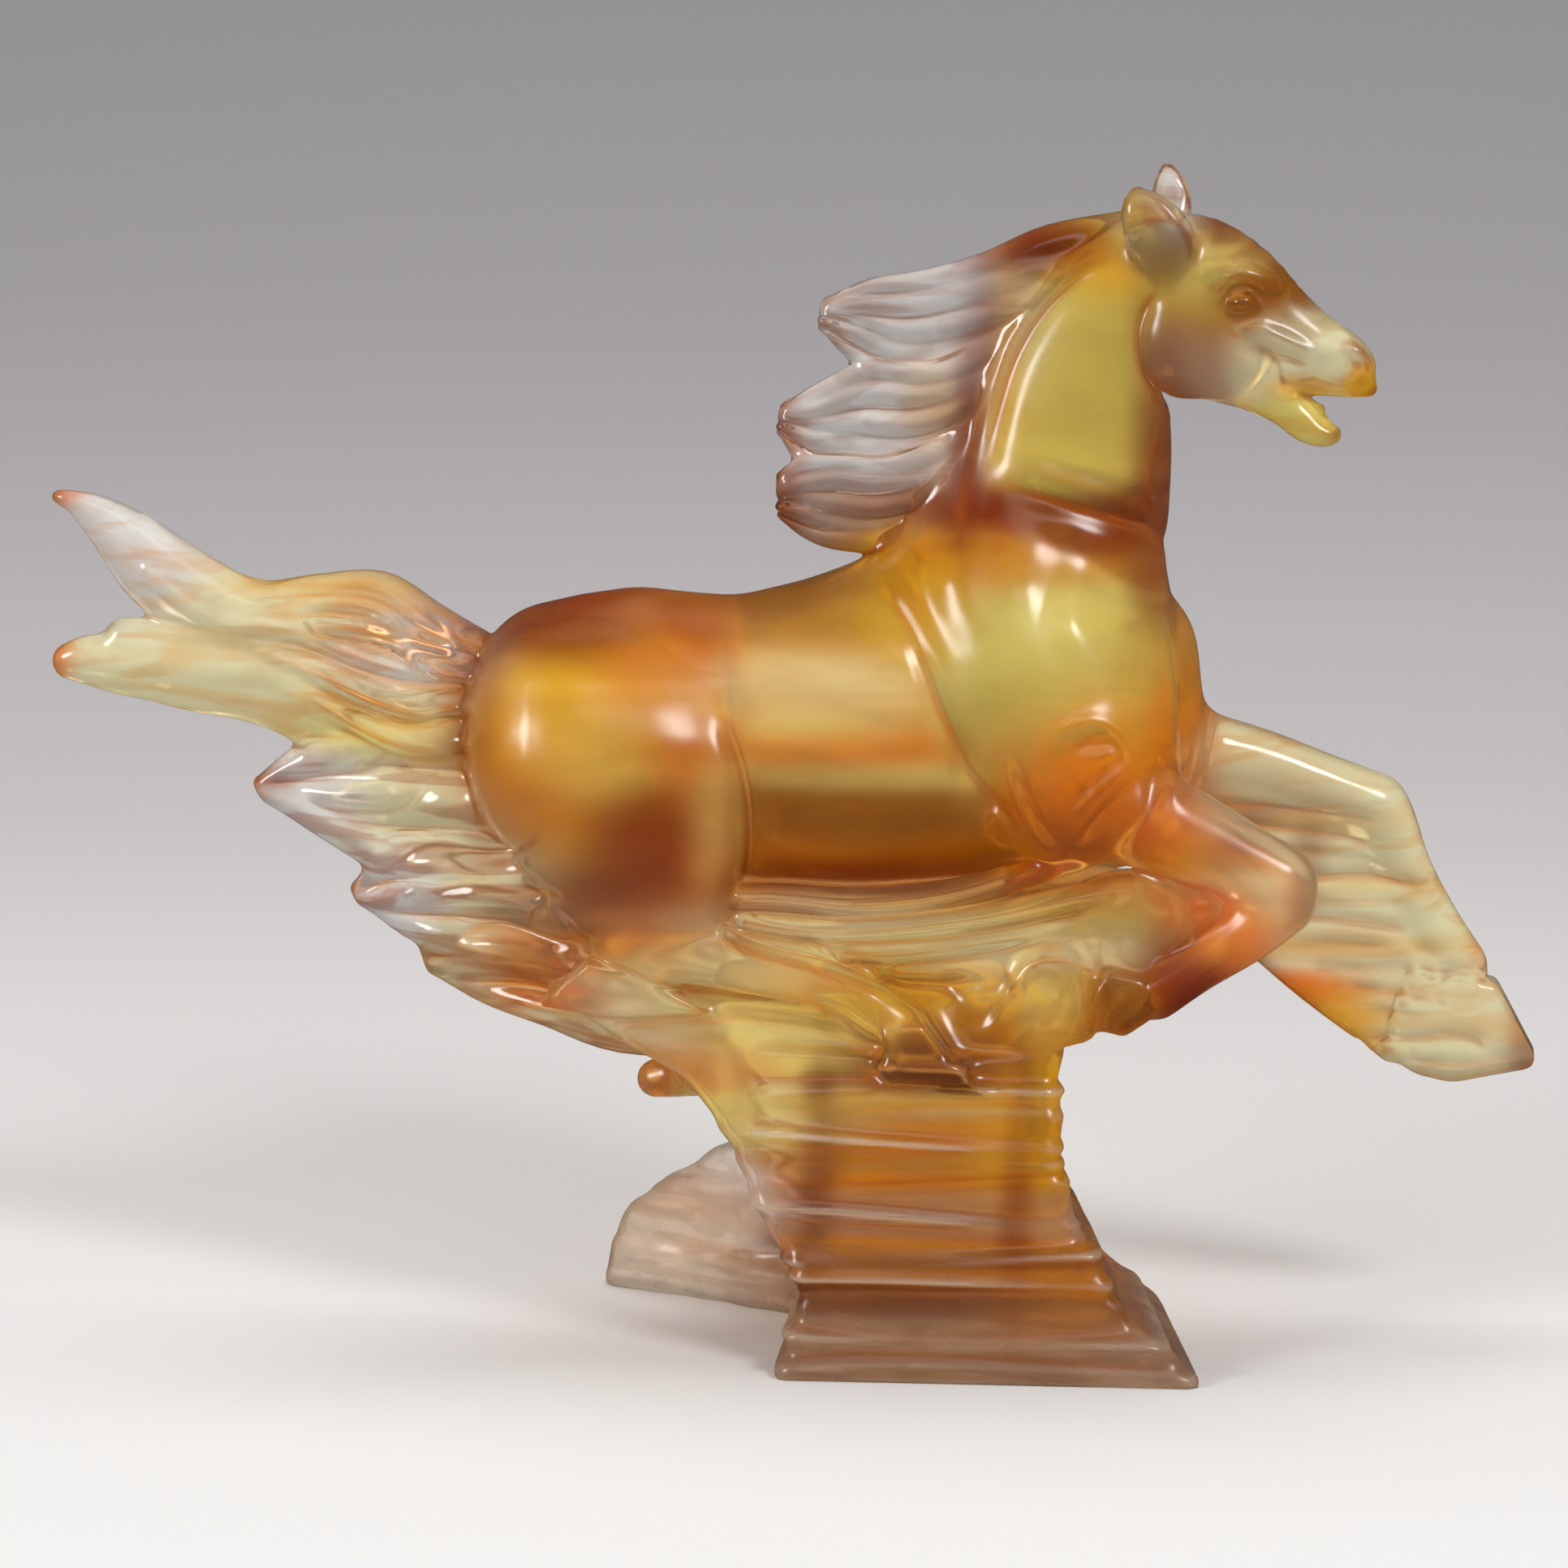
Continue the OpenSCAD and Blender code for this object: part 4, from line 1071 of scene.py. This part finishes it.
def colours_from_pours_and_highlights(points, palette):
    """The colour of the glass at each point, from the pours that reach it, painted highlights among them."""
    total = np.zeros((len(points), 3))
    weight = np.full(len(points), 1e-6)
    for glass, x, z, rx, rz, strength in POURS_AND_HIGHLIGHTS:
        away = ((points[:, 0] - x) / rx) ** 2 + ((points[:, 2] - z) / rz) ** 2
        w = strength * (np.exp(-away) + 0.006 / (1.0 + away) ** 2)
        total += w[:, None] * np.array(palette[glass])
        weight += w
    return total / weight[:, None]


# How sharp an edge or a groove has to be before painted shade is laid on it, over how much it
# builds up, and the most of it; on the rock's lips it is a painted highlight instead
RIM_PAINT_START, RIM_PAINT_SPAN, RIM_PAINT_MOST = 0.45, 0.7, 0.7
CREASE_SHADE_START, CREASE_SHADE_SPAN, CREASE_SHADE_MOST = 0.14, 0.45, 0.75
# The gap over which bending is felt, in mm
BEND_REACH = 1.3


def mixed(palette, **shares):
    return sum(share * np.array(palette[glass]) for glass, share in shares.items())


def rises(value, start, span):
    """0 below start, 1 beyond start + span; a negative span turns it round."""
    return np.clip((value - start) / span, 0.0, 1.0)


def paint_shade_and_highlight_at_edges(clay, points, colours, palette):
    """Paints shade where the glass is sharp or creased, and paints highlights on the rock's lips."""
    bend = -6.0 * sample(clay.field, clay.low, clay.step, points)
    for i in range(3):
        for way in (-BEND_REACH, BEND_REACH):
            shift = np.zeros(3)
            shift[i] = way
            bend += sample(clay.field, clay.low, clay.step, points + shift)
    bend /= BEND_REACH * BEND_REACH
    # painted shade: darker tints laid along sharp edges here and, on the next line, in grooves
    rim = rises(bend, RIM_PAINT_START, RIM_PAINT_SPAN)[:, None] * RIM_PAINT_MOST
    crease_shade = rises(-bend, CREASE_SHADE_START, CREASE_SHADE_SPAN)[:, None] * CREASE_SHADE_MOST
    x, z = points[:, :1], points[:, 2:]
    edge = mixed(palette, rust=0.6, orange=0.4)
    # the painted edge shade on the tail, the tips and the water is a lighter gold than on the body
    water = rises(z, 54.0, 4.0) * rises(z, 90.0, -4.0) * (x < 66)
    pale = np.clip(rises(x, -58.0, -6.0) + water, 0.0, 1.0) * 0.8
    edge = edge * (1.0 - pale) + mixed(palette, orange=0.3, gold=0.3, copper=0.4) * pale
    # and on the mane a browner gold
    mane = rises(z, 148.0, 3.0) * rises(x, 40.0, -4.0) * 0.7
    edge = edge * (1.0 - mane) + mixed(palette, bronze=1.0) * mane
    # on the rock the sharp lips get a pale painted highlight instead of painted shade
    rock = rises(z, 58.0, -6.0) * (x < 84)
    lip = edge * (1.0 - rock) + mixed(palette, blush=1.0) * rock
    colours = colours * (1.0 - rim) + lip * rim
    return colours * (1.0 - crease_shade) + (0.35 * colours + 0.65 * edge) * crease_shade


# --------------------------------------------------------------------- materials


def add_node(tree, kind, settings=None, **links):
    """Adds one node, sets its settings and inputs, and links the sockets given."""
    node = tree.nodes.new(kind)
    for key, value in (settings or {}).items():
        if key in node.bl_rna.properties:
            setattr(node, key, value)
        else:
            node.inputs[key].default_value = value
    for key, source in links.items():
        tree.links.new(source, node.inputs[key.replace("_", " ")])
    return node


def cast_crystal(name, roughness, clearness, veil, vein, vein_tint):
    """Lead crystal, lost-wax cast in plaster and acid-satined.

    The mould leaves a skin of fine pits, so highlights are broad and soft and what
    lies behind is blurred. Colour swims inside as drawn-out clouds and thin veins,
    because the frit flows as it melts.
    """
    material = bpy.data.materials.new(name)
    material.use_nodes = True
    tree = material.node_tree
    tree.nodes.clear()
    place = add_node(tree, "ShaderNodeTexCoord").outputs["Object"]
    # the pour colour holds the glass's own colour with painted shade and painted highlights laid in
    pour = add_node(tree, "ShaderNodeVertexColor", {"layer_name": "pour"}).outputs["Color"]
    # clouds about 25 mm long and 9 mm high, veins every 6 mm or so
    drawn = add_node(tree, "ShaderNodeMapping", {"Scale": (40.0, 60.0, 110.0)}, Vector=place)
    cloud = add_node(
        tree, "ShaderNodeTexNoise", {"Scale": 1.0, "Detail": 3.0, "Roughness": 0.5, "Distortion": 0.6},
        Vector=drawn.outputs["Vector"],
    )
    light = add_node(
        tree, "ShaderNodeMapRange",
        {"From Min": 0.3, "From Max": 0.7, "To Min": 1.0 - veil, "To Max": 1.0 + veil},
        Value=cloud.outputs["Fac"],
    )
    clouded = add_node(tree, "ShaderNodeMix", {"data_type": "RGBA", "blend_type": "MULTIPLY"})
    clouded.inputs["Factor"].default_value = 1.0
    tree.links.new(pour, clouded.inputs[6])
    tree.links.new(light.outputs["Result"], clouded.inputs[7])
    fine = add_node(tree, "ShaderNodeMapping", {"Scale": (30.0, 60.0, 165.0)}, Vector=place)
    streak = add_node(
        tree, "ShaderNodeTexNoise", {"Scale": 1.0, "Detail": 2.0, "Distortion": 1.4},
        Vector=fine.outputs["Vector"],
    )
    band = add_node(
        tree, "ShaderNodeMapRange", {"From Min": 0.5, "From Max": 0.6, "To Min": 0.0, "To Max": vein},
        Value=streak.outputs["Fac"],
    )
    veined = add_node(tree, "ShaderNodeMix", {"data_type": "RGBA"}, Factor=band.outputs["Result"])
    tree.links.new(clouded.outputs[2], veined.inputs[6])
    veined.inputs[7].default_value = (*linear(vein_tint), 1.0)
    # satin pits: real ones are about 0.1 mm across, drawn at 1.2 mm so that they show
    pits = add_node(
        tree, "ShaderNodeTexNoise", {"Scale": 800.0, "Detail": 2.0, "Roughness": 0.6}, Vector=place,
    )
    swirl = add_node(tree, "ShaderNodeTexNoise", {"Scale": 120.0, "Detail": 2.0}, Vector=place)
    satin = add_node(
        tree, "ShaderNodeMapRange",
        {"From Min": 0.3, "From Max": 0.7, "To Min": roughness - 0.05, "To Max": roughness + 0.06},
        Value=swirl.outputs["Fac"],
    )
    bump = add_node(
        tree, "ShaderNodeBump", {"Strength": 0.04, "Distance": 0.00006}, Height=pits.outputs["Fac"],
    )
    glass = add_node(
        tree, "ShaderNodeBsdfPrincipled", {"IOR": 1.5, "Metallic": 0.0},
        Base_Color=veined.outputs[2], Roughness=satin.outputs["Result"], Normal=bump.outputs["Normal"],
    )
    glass.inputs["Transmission Weight"].default_value = clearness
    out = add_node(tree, "ShaderNodeOutputMaterial", None, Surface=glass.outputs["BSDF"])
    out.is_active_output = True
    return material


def run_on_glass():
    """Where one form runs on into the next there is no surface, so none is seen."""
    material = bpy.data.materials.new("glass_runs_on")
    material.use_nodes = True
    tree = material.node_tree
    tree.nodes.clear()
    clear = add_node(tree, "ShaderNodeBsdfTransparent", {"Color": (1.0, 1.0, 1.0, 1.0)})
    add_node(tree, "ShaderNodeOutputMaterial", None, Surface=clear.outputs["BSDF"])
    return material


# One satin for each glass of the record: slot, roughness, share of light let through, cloud depth,
# vein share, vein tint, pieces
FINISHES = [
    [
        "amber_glass", 0.21, 0.74, 0.12, 0.08, "#c8843c",
        ["near_haunch", "far_haunch", "near_hind_shank", "far_hind_shank", "near_forearm", "near_fore_cannon"],
    ],
    [
        "honey_glass", 0.21, 0.74, 0.14, 0.12, "#c8843c",
        ["barrel", "far_hind_hoof", "wave_crest", "wave_belly", "wave_tip_hock", "rock_column"],
    ],
    ["olive_glass", 0.22, 0.75, 0.08, 0.05, "#c8943c", ["near_shoulder", "far_shoulder", "neck", "skull"]],
    [
        "umber_glass", 0.2, 0.88, 0.12, 0.1, "#a86830",
        ["near_ear", "near_eye", "far_eye", "near_hind_hoof", "near_fore_hoof", "wave_tip_small"],
    ],
    [
        "clear_glass", 0.12, 0.88, 0.06, 0.36, "#a85c10",
        ["mane_upper_lock", "mane_middle_lock", "mane_lower_lock", "far_ear"],
    ],
    [
        "lemon_glass", 0.14, 0.74, 0.08, 0.4, "#f4a41c",
        [
            "tail_upper_lock", "tail_middle_lock", "tail_lower_lock", "lower_jaw", "far_forearm",
            "far_fore_cannon", "far_fore_hoof", "spray_sheet",
        ],
    ],
    ["tip_glass", 0.14, 0.8, 0.1, 0.6, "#b8560c", ["wave_tip_upper", "wave_tip_middle", "wave_tip_lower"]],
    ["smoky_glass", 0.27, 0.82, 0.12, 0.3, "#8a5430", ["rock_plinth", "rock_wing"]],
]


# ------------------------------------------------------------------ the add-on


def colour_property(key):
    hex_value, label, text = GLASSES[key]
    return bpy.props.FloatVectorProperty(
        name=label, description=text, default=linear(hex_value), size=3, min=0.0, max=1.0, subtype="COLOR"
    )


def length_property(name, description, default, low, high, precision=2):
    return bpy.props.FloatProperty(
        name=name, description=description, default=default, min=low, max=high,
        precision=precision, subtype="DISTANCE", unit="LENGTH",
    )


class HorseSizes(bpy.types.PropertyGroup):
    girth_half: length_property("Half girth", "Half the thickness of the barrel", 0.025, 0.02, 0.028)
    mane_half: length_property("Half mane", "Half the thickness of the mane at its root", 0.007, 0.005, 0.009)
    tail_half: length_property("Half tail", "Half the thickness of the tail at its root", 0.009, 0.007, 0.011)
    spray_half: length_property("Half spray", "Half the thickness of the spray", 0.0045, 0.003, 0.006)
    wing_height: length_property("Wing height", "Height of the rear foot of rock", 0.041, 0.03, 0.045)
    grain: length_property("Grain", "Spacing of the clay's grid", 0.0007, 0.0005, 0.003, 5)


class HorseColours(bpy.types.PropertyGroup):
    rust: colour_property("rust")
    orange: colour_property("orange")
    amber: colour_property("amber")
    gold: colour_property("gold")
    straw: colour_property("straw")
    lemon: colour_property("lemon")
    olive: colour_property("olive")
    moss: colour_property("moss")
    bronze: colour_property("bronze")
    umber: colour_property("umber")
    mauve: colour_property("mauve")
    copper: colour_property("copper")
    smoke: colour_property("smoke")
    blush: colour_property("blush")
    clear: colour_property("clear")


STUDIO = {}


def clay_block():
    """The one block of clay that every form is laid into, made when first asked for."""
    if "clay" not in STUDIO:
        sizes = bpy.context.scene.horse_sizes
        step = sizes.grain / MM
        low = [CAD_BOX[0][i] / MM - BLOCK_MARGIN for i in range(3)]
        high = [CAD_BOX[1][i] / MM + BLOCK_MARGIN for i in range(3)]
        STUDIO["clay"] = Clay(low, high, step)
    return STUDIO["clay"]


class HORSE_OT_trunk(bpy.types.Operator):
    """Lays the wax for the barrel, haunches, shoulders and neck"""

    bl_idname = "horse.trunk"
    bl_label = "Trunk"

    def execute(self, context):
        sculpt_trunk(clay_block(), context.scene.horse_sizes.girth_half / MM)
        sculpt_neck(clay_block())
        clay_block().rub(TRUNK_RUB, [-76, -40, 70], [96, 40, 214])
        return {"FINISHED"}


class HORSE_OT_head(bpy.types.Operator):
    """Lays the wax for the skull, jaw, ears and eyes"""

    bl_idname = "horse.head"
    bl_label = "Head"

    def execute(self, context):
        sculpt_head(clay_block())
        return {"FINISHED"}


class HORSE_OT_mane(bpy.types.Operator):
    """Lays the three locks of the mane"""

    bl_idname = "horse.mane"
    bl_label = "Mane"

    def execute(self, context):
        sculpt_mane(clay_block(), context.scene.horse_sizes.mane_half / MM)
        return {"FINISHED"}


class HORSE_OT_tail(bpy.types.Operator):
    """Lays the three locks of the tail"""

    bl_idname = "horse.tail"
    bl_label = "Tail"

    def execute(self, context):
        sculpt_tail(clay_block(), context.scene.horse_sizes.tail_half / MM)
        return {"FINISHED"}


class HORSE_OT_legs(bpy.types.Operator):
    """Lays the four legs and their hooves"""

    bl_idname = "horse.legs"
    bl_label = "Legs and hooves"

    def execute(self, context):
        sculpt_legs(clay_block())
        muscle_lines(clay_block())
        return {"FINISHED"}


class HORSE_OT_water(bpy.types.Operator):
    """Lays the spray, the wave and its six tips"""

    bl_idname = "horse.water"
    bl_label = "Spray and wave"

    def execute(self, context):
        sculpt_spray(clay_block(), context.scene.horse_sizes.spray_half / MM)
        sculpt_wave(clay_block())
        return {"FINISHED"}


class HORSE_OT_rock(bpy.types.Operator):
    """Lays the layered rock that the wave breaks on"""

    bl_idname = "horse.rock"
    bl_label = "Rock"

    def execute(self, context):
        sculpt_rock(clay_block(), context.scene.horse_sizes.wing_height / MM)
        return {"FINISHED"}


class HORSE_OT_cast(bpy.types.Operator):
    """Casts the clay in crystal, form by form"""

    bl_idname = "horse.cast"
    bl_label = "Cast in crystal"

    def execute(self, context):
        clay = clay_block()
        trim_to_box(clay)
        palette = {key: list(getattr(context.scene.horse_colours, key)) for key in GLASSES}
        points, normals, quads, sides = cast(clay)
        colours = colours_from_pours_and_highlights(points, palette)
        # painted shade at edges and creases, and painted highlights on the rock's lips, go into the colours
        colours = paint_shade_and_highlight_at_edges(clay, points, colours, palette)
        joint = run_on_glass()
        for slot, *recipe, pieces in FINISHES:
            glass = cast_crystal("satin_cast_" + slot, *recipe)
            for name in pieces:
                piece = mesh_piece(
                    "cast_" + name, clay.names.index(name), points, normals, colours, quads, sides,
                )
                piece.data.materials.append(glass)
                piece.data.materials.append(joint)
                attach(piece, "root")
                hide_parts(name)
        return {"FINISHED"}


def trim_to_box(clay):
    """Grinds the foot flat on the table and keeps every tip inside the CAD size."""
    low = np.array(CAD_BOX[0]) / MM
    high = np.array(CAD_BOX[1]) / MM
    for i in range(3):
        shape = [1, 1, 1]
        shape[i] = -1
        line = clay.axes[i].reshape(shape)
        clay.field = np.maximum(clay.field, np.maximum(low[i] - line, line - high[i])).astype(np.float32)


class HORSE_OT_stage(bpy.types.Operator):
    """Sets the table, backdrop, soft lights and camera"""

    bl_idname = "horse.stage"
    bl_label = "Studio"

    def execute(self, context):
        make_sweep()
        make_lights(context.scene)
        make_camera(context.scene)
        return {"FINISHED"}


# Painted shade on the paper, from near white at the front to grey at the back where less light falls: y in
# metres, colour
PAPER_PAINTED_SHADE = [
    [-0.2, "#f6f6f5"], [0.25, "#ebe9e8"], [0.57, "#ddd9d9"], [0.72, "#cac6c7"], [0.87, "#aba8aa"],
    [1.0, "#979598"],
]


# The sweep in metres: its front edge, where it starts to curve and the radius of that curve,
# its top, and half its width
SWEEP_FRONT, SWEEP_BEND, SWEEP_TOP, SWEEP_HALF = -4.0, 0.55, 2.6, 3.2


def make_sweep():
    """A paper sweep: a pale table that curves up into a backdrop, painted in shade to grey at the top."""
    profile = [(SWEEP_FRONT, 0.0), (SWEEP_BEND, 0.0)]
    for i in range(1, 13):
        turn = math.radians(90.0 * i / 12)
        profile.append((SWEEP_BEND + SWEEP_BEND * math.sin(turn), SWEEP_BEND - SWEEP_BEND * math.cos(turn)))
    profile.append((2 * SWEEP_BEND, SWEEP_TOP))
    verts = [(x, y, z) for y, z in profile for x in (-SWEEP_HALF, SWEEP_HALF)]
    faces = [(2 * i, 2 * i + 1, 2 * i + 3, 2 * i + 2) for i in range(len(profile) - 1)]
    mesh = bpy.data.meshes.new("paper_sweep")
    mesh.from_pydata(verts, [], faces)
    mesh.shade_smooth()
    sweep = bpy.data.objects.new("paper_sweep", mesh)
    bpy.context.scene.collection.objects.link(sweep)
    sweep.visible_glossy = False
    material = bpy.data.materials.new("matt_paper")
    material.use_nodes = True
    tree = material.node_tree
    tree.nodes.clear()
    place = add_node(tree, "ShaderNodeTexCoord").outputs["Object"]
    split = add_node(tree, "ShaderNodeSeparateXYZ", None, Vector=place)
    # painted shade: the paper's colour darkens with y up the backdrop
    depth = add_node(
        tree, "ShaderNodeMapRange", {"From Min": PAPER_PAINTED_SHADE[0][0], "From Max": PAPER_PAINTED_SHADE[-1][0]},
        Value=split.outputs["Y"],
    )
    ramp = add_node(tree, "ShaderNodeValToRGB", None, Fac=depth.outputs["Result"])
    stops = ramp.color_ramp.elements
    for i, (y, colour) in enumerate(PAPER_PAINTED_SHADE):
        share = (y - PAPER_PAINTED_SHADE[0][0]) / (PAPER_PAINTED_SHADE[-1][0] - PAPER_PAINTED_SHADE[0][0])
        stop = stops[i] if i in (0, 1) else stops.new(share)
        stop.position, stop.color = share, (*linear(colour), 1.0)
    paper = add_node(tree, "ShaderNodeBsdfPrincipled", {"Roughness": 0.9, "Specular IOR Level": 0.1})
    tree.links.new(ramp.outputs["Color"], paper.inputs["Base Color"])
    # seen from its back the paper lets the view through, so the horse's far side shows too
    back = add_node(tree, "ShaderNodeNewGeometry").outputs["Backfacing"]
    gone = add_node(tree, "ShaderNodeBsdfTransparent")
    either = add_node(tree, "ShaderNodeMixShader", None, Fac=back)
    tree.links.new(paper.outputs["BSDF"], either.inputs[1])
    tree.links.new(gone.outputs["BSDF"], either.inputs[2])
    add_node(tree, "ShaderNodeOutputMaterial", None, Surface=either.outputs["Shader"])
    mesh.materials.append(material)


# Softboxes: name, place, point they face, width and height in metres, watts
SOFTBOXES = [
    ["left", (-1.15, -0.95, 0.62), (0.0, 0.0, 0.1), 0.42, 0.5, 9.0],
    ["right", (0.85, -1.0, 1.15), (0.0, 0.0, 0.1), 0.5, 0.42, 10.0],
    ["front", (0.1, -1.15, 1.1), (0.0, 0.0, 0.1), 1.1, 0.4, 1.6],
    ["top", (0.0, 0.35, 1.5), (0.0, 0.1, 0.1), 1.4, 0.9, 8.6],
]


# Strength of the room's light: on the paper, in gloss, and seen through the glass
AIR, AIR_IN_GLOSS, AIR_IN_GLASS = 0.6, 0.14, 1.1


def make_lights(scene):
    """Two softboxes at the sides, one in front, one overhead, and dim air."""
    for name, place, aim, wide, tall, watts in SOFTBOXES:
        light = bpy.data.lights.new("softbox_" + name, "AREA")
        light.shape = "ELLIPSE"
        light.size, light.size_y = wide, tall
        light.energy = watts
        light.color = linear("#fffdfc")
        ob = bpy.data.objects.new("softbox_" + name, light)
        ob.location = place
        ob.rotation_euler = (Vector(place) - Vector(aim)).to_track_quat("Z", "Y").to_euler()
        # black card keeps the box overhead out of the gloss of the horse's back
        ob.visible_glossy = name != "top"
        scene.collection.objects.link(ob)
    world = bpy.data.worlds.new("studio_air")
    world.use_nodes = True
    tree = world.node_tree
    air = tree.nodes["Background"]
    air.inputs["Color"].default_value = (*linear("#b7b8b9"), 1.0)
    # the room beyond the paper is dim in reflections, and white card lights the glass from within
    ray = add_node(tree, "ShaderNodeLightPath")
    gloss = add_node(tree, "ShaderNodeMath", {"operation": "SUBTRACT", "use_clamp": True})
    tree.links.new(ray.outputs["Is Glossy Ray"], gloss.inputs[0])
    tree.links.new(ray.outputs["Is Transmission Ray"], gloss.inputs[1])
    dim = add_node(
        tree, "ShaderNodeMapRange", {"To Min": AIR, "To Max": AIR_IN_GLOSS}, Value=gloss.outputs["Value"],
    )
    card = add_node(
        tree, "ShaderNodeMapRange", {"To Min": 1.0, "To Max": AIR_IN_GLASS / AIR},
        Value=ray.outputs["Is Transmission Ray"],
    )
    both = add_node(tree, "ShaderNodeMath", {"operation": "MULTIPLY"})
    tree.links.new(dim.outputs["Result"], both.inputs[0])
    tree.links.new(card.outputs["Result"], both.inputs[1])
    tree.links.new(both.outputs["Value"], air.inputs["Strength"])
    scene.world = world
    scene.view_settings.view_transform = "Standard"
    # enough bounces for light to come out again at the far side of the glass
    scene.cycles.transparent_max_bounces = 96
    scene.cycles.transmission_bounces = 24
    scene.cycles.max_bounces = 28


def make_camera(scene):
    """A long lens a little above the horse, turned slightly towards its tail."""
    azimuth, elevation, distance = math.radians(5.0), math.radians(9.5), 1.3
    target = Vector((-0.0009, 0.0, 0.1035))
    away = Vector((
        math.sin(azimuth) * math.cos(elevation), -math.cos(azimuth) * math.cos(elevation), math.sin(elevation)
    ))
    data = bpy.data.cameras.new("camera")
    data.sensor_width = 36.0
    data.lens = 161.3
    data.clip_start, data.clip_end = 0.05, 20.0
    camera = bpy.data.objects.new("camera", data)
    camera.location = target + distance * away
    camera.rotation_euler = away.to_track_quat("Z", "Y").to_euler()
    scene.collection.objects.link(camera)
    scene.camera = camera


MAKERS = [
    HORSE_OT_trunk, HORSE_OT_head, HORSE_OT_mane, HORSE_OT_tail, HORSE_OT_legs,
    HORSE_OT_water, HORSE_OT_rock, HORSE_OT_cast, HORSE_OT_stage,
]


class HORSE_PT_panel(bpy.types.Panel):
    """The makers in order, with the sizes and colours they work from"""

    bl_idname = "HORSE_PT_panel"
    bl_label = "Cast glass horse"
    bl_space_type = "VIEW_3D"
    bl_region_type = "UI"
    bl_category = "Glass horse"

    def draw(self, context):
        for group in (context.scene.horse_sizes, context.scene.horse_colours):
            box = self.layout.box()
            for key in group.__annotations__:
                box.prop(group, key)
        for maker in MAKERS:
            self.layout.operator(maker.bl_idname)


CLASSES = [HorseSizes, HorseColours, *MAKERS, HORSE_PT_panel]


def register():
    for cls in CLASSES:
        bpy.utils.register_class(cls)
    bpy.types.Scene.horse_sizes = bpy.props.PointerProperty(type=HorseSizes)
    bpy.types.Scene.horse_colours = bpy.props.PointerProperty(type=HorseColours)


def unregister():
    del bpy.types.Scene.horse_colours
    del bpy.types.Scene.horse_sizes
    for cls in reversed(CLASSES):
        bpy.utils.unregister_class(cls)


def main():
    register()
    for maker in MAKERS:
        group, name = maker.bl_idname.split(".")
        getattr(getattr(bpy.ops, group), name)()


if __name__ == "__main__":
    main()
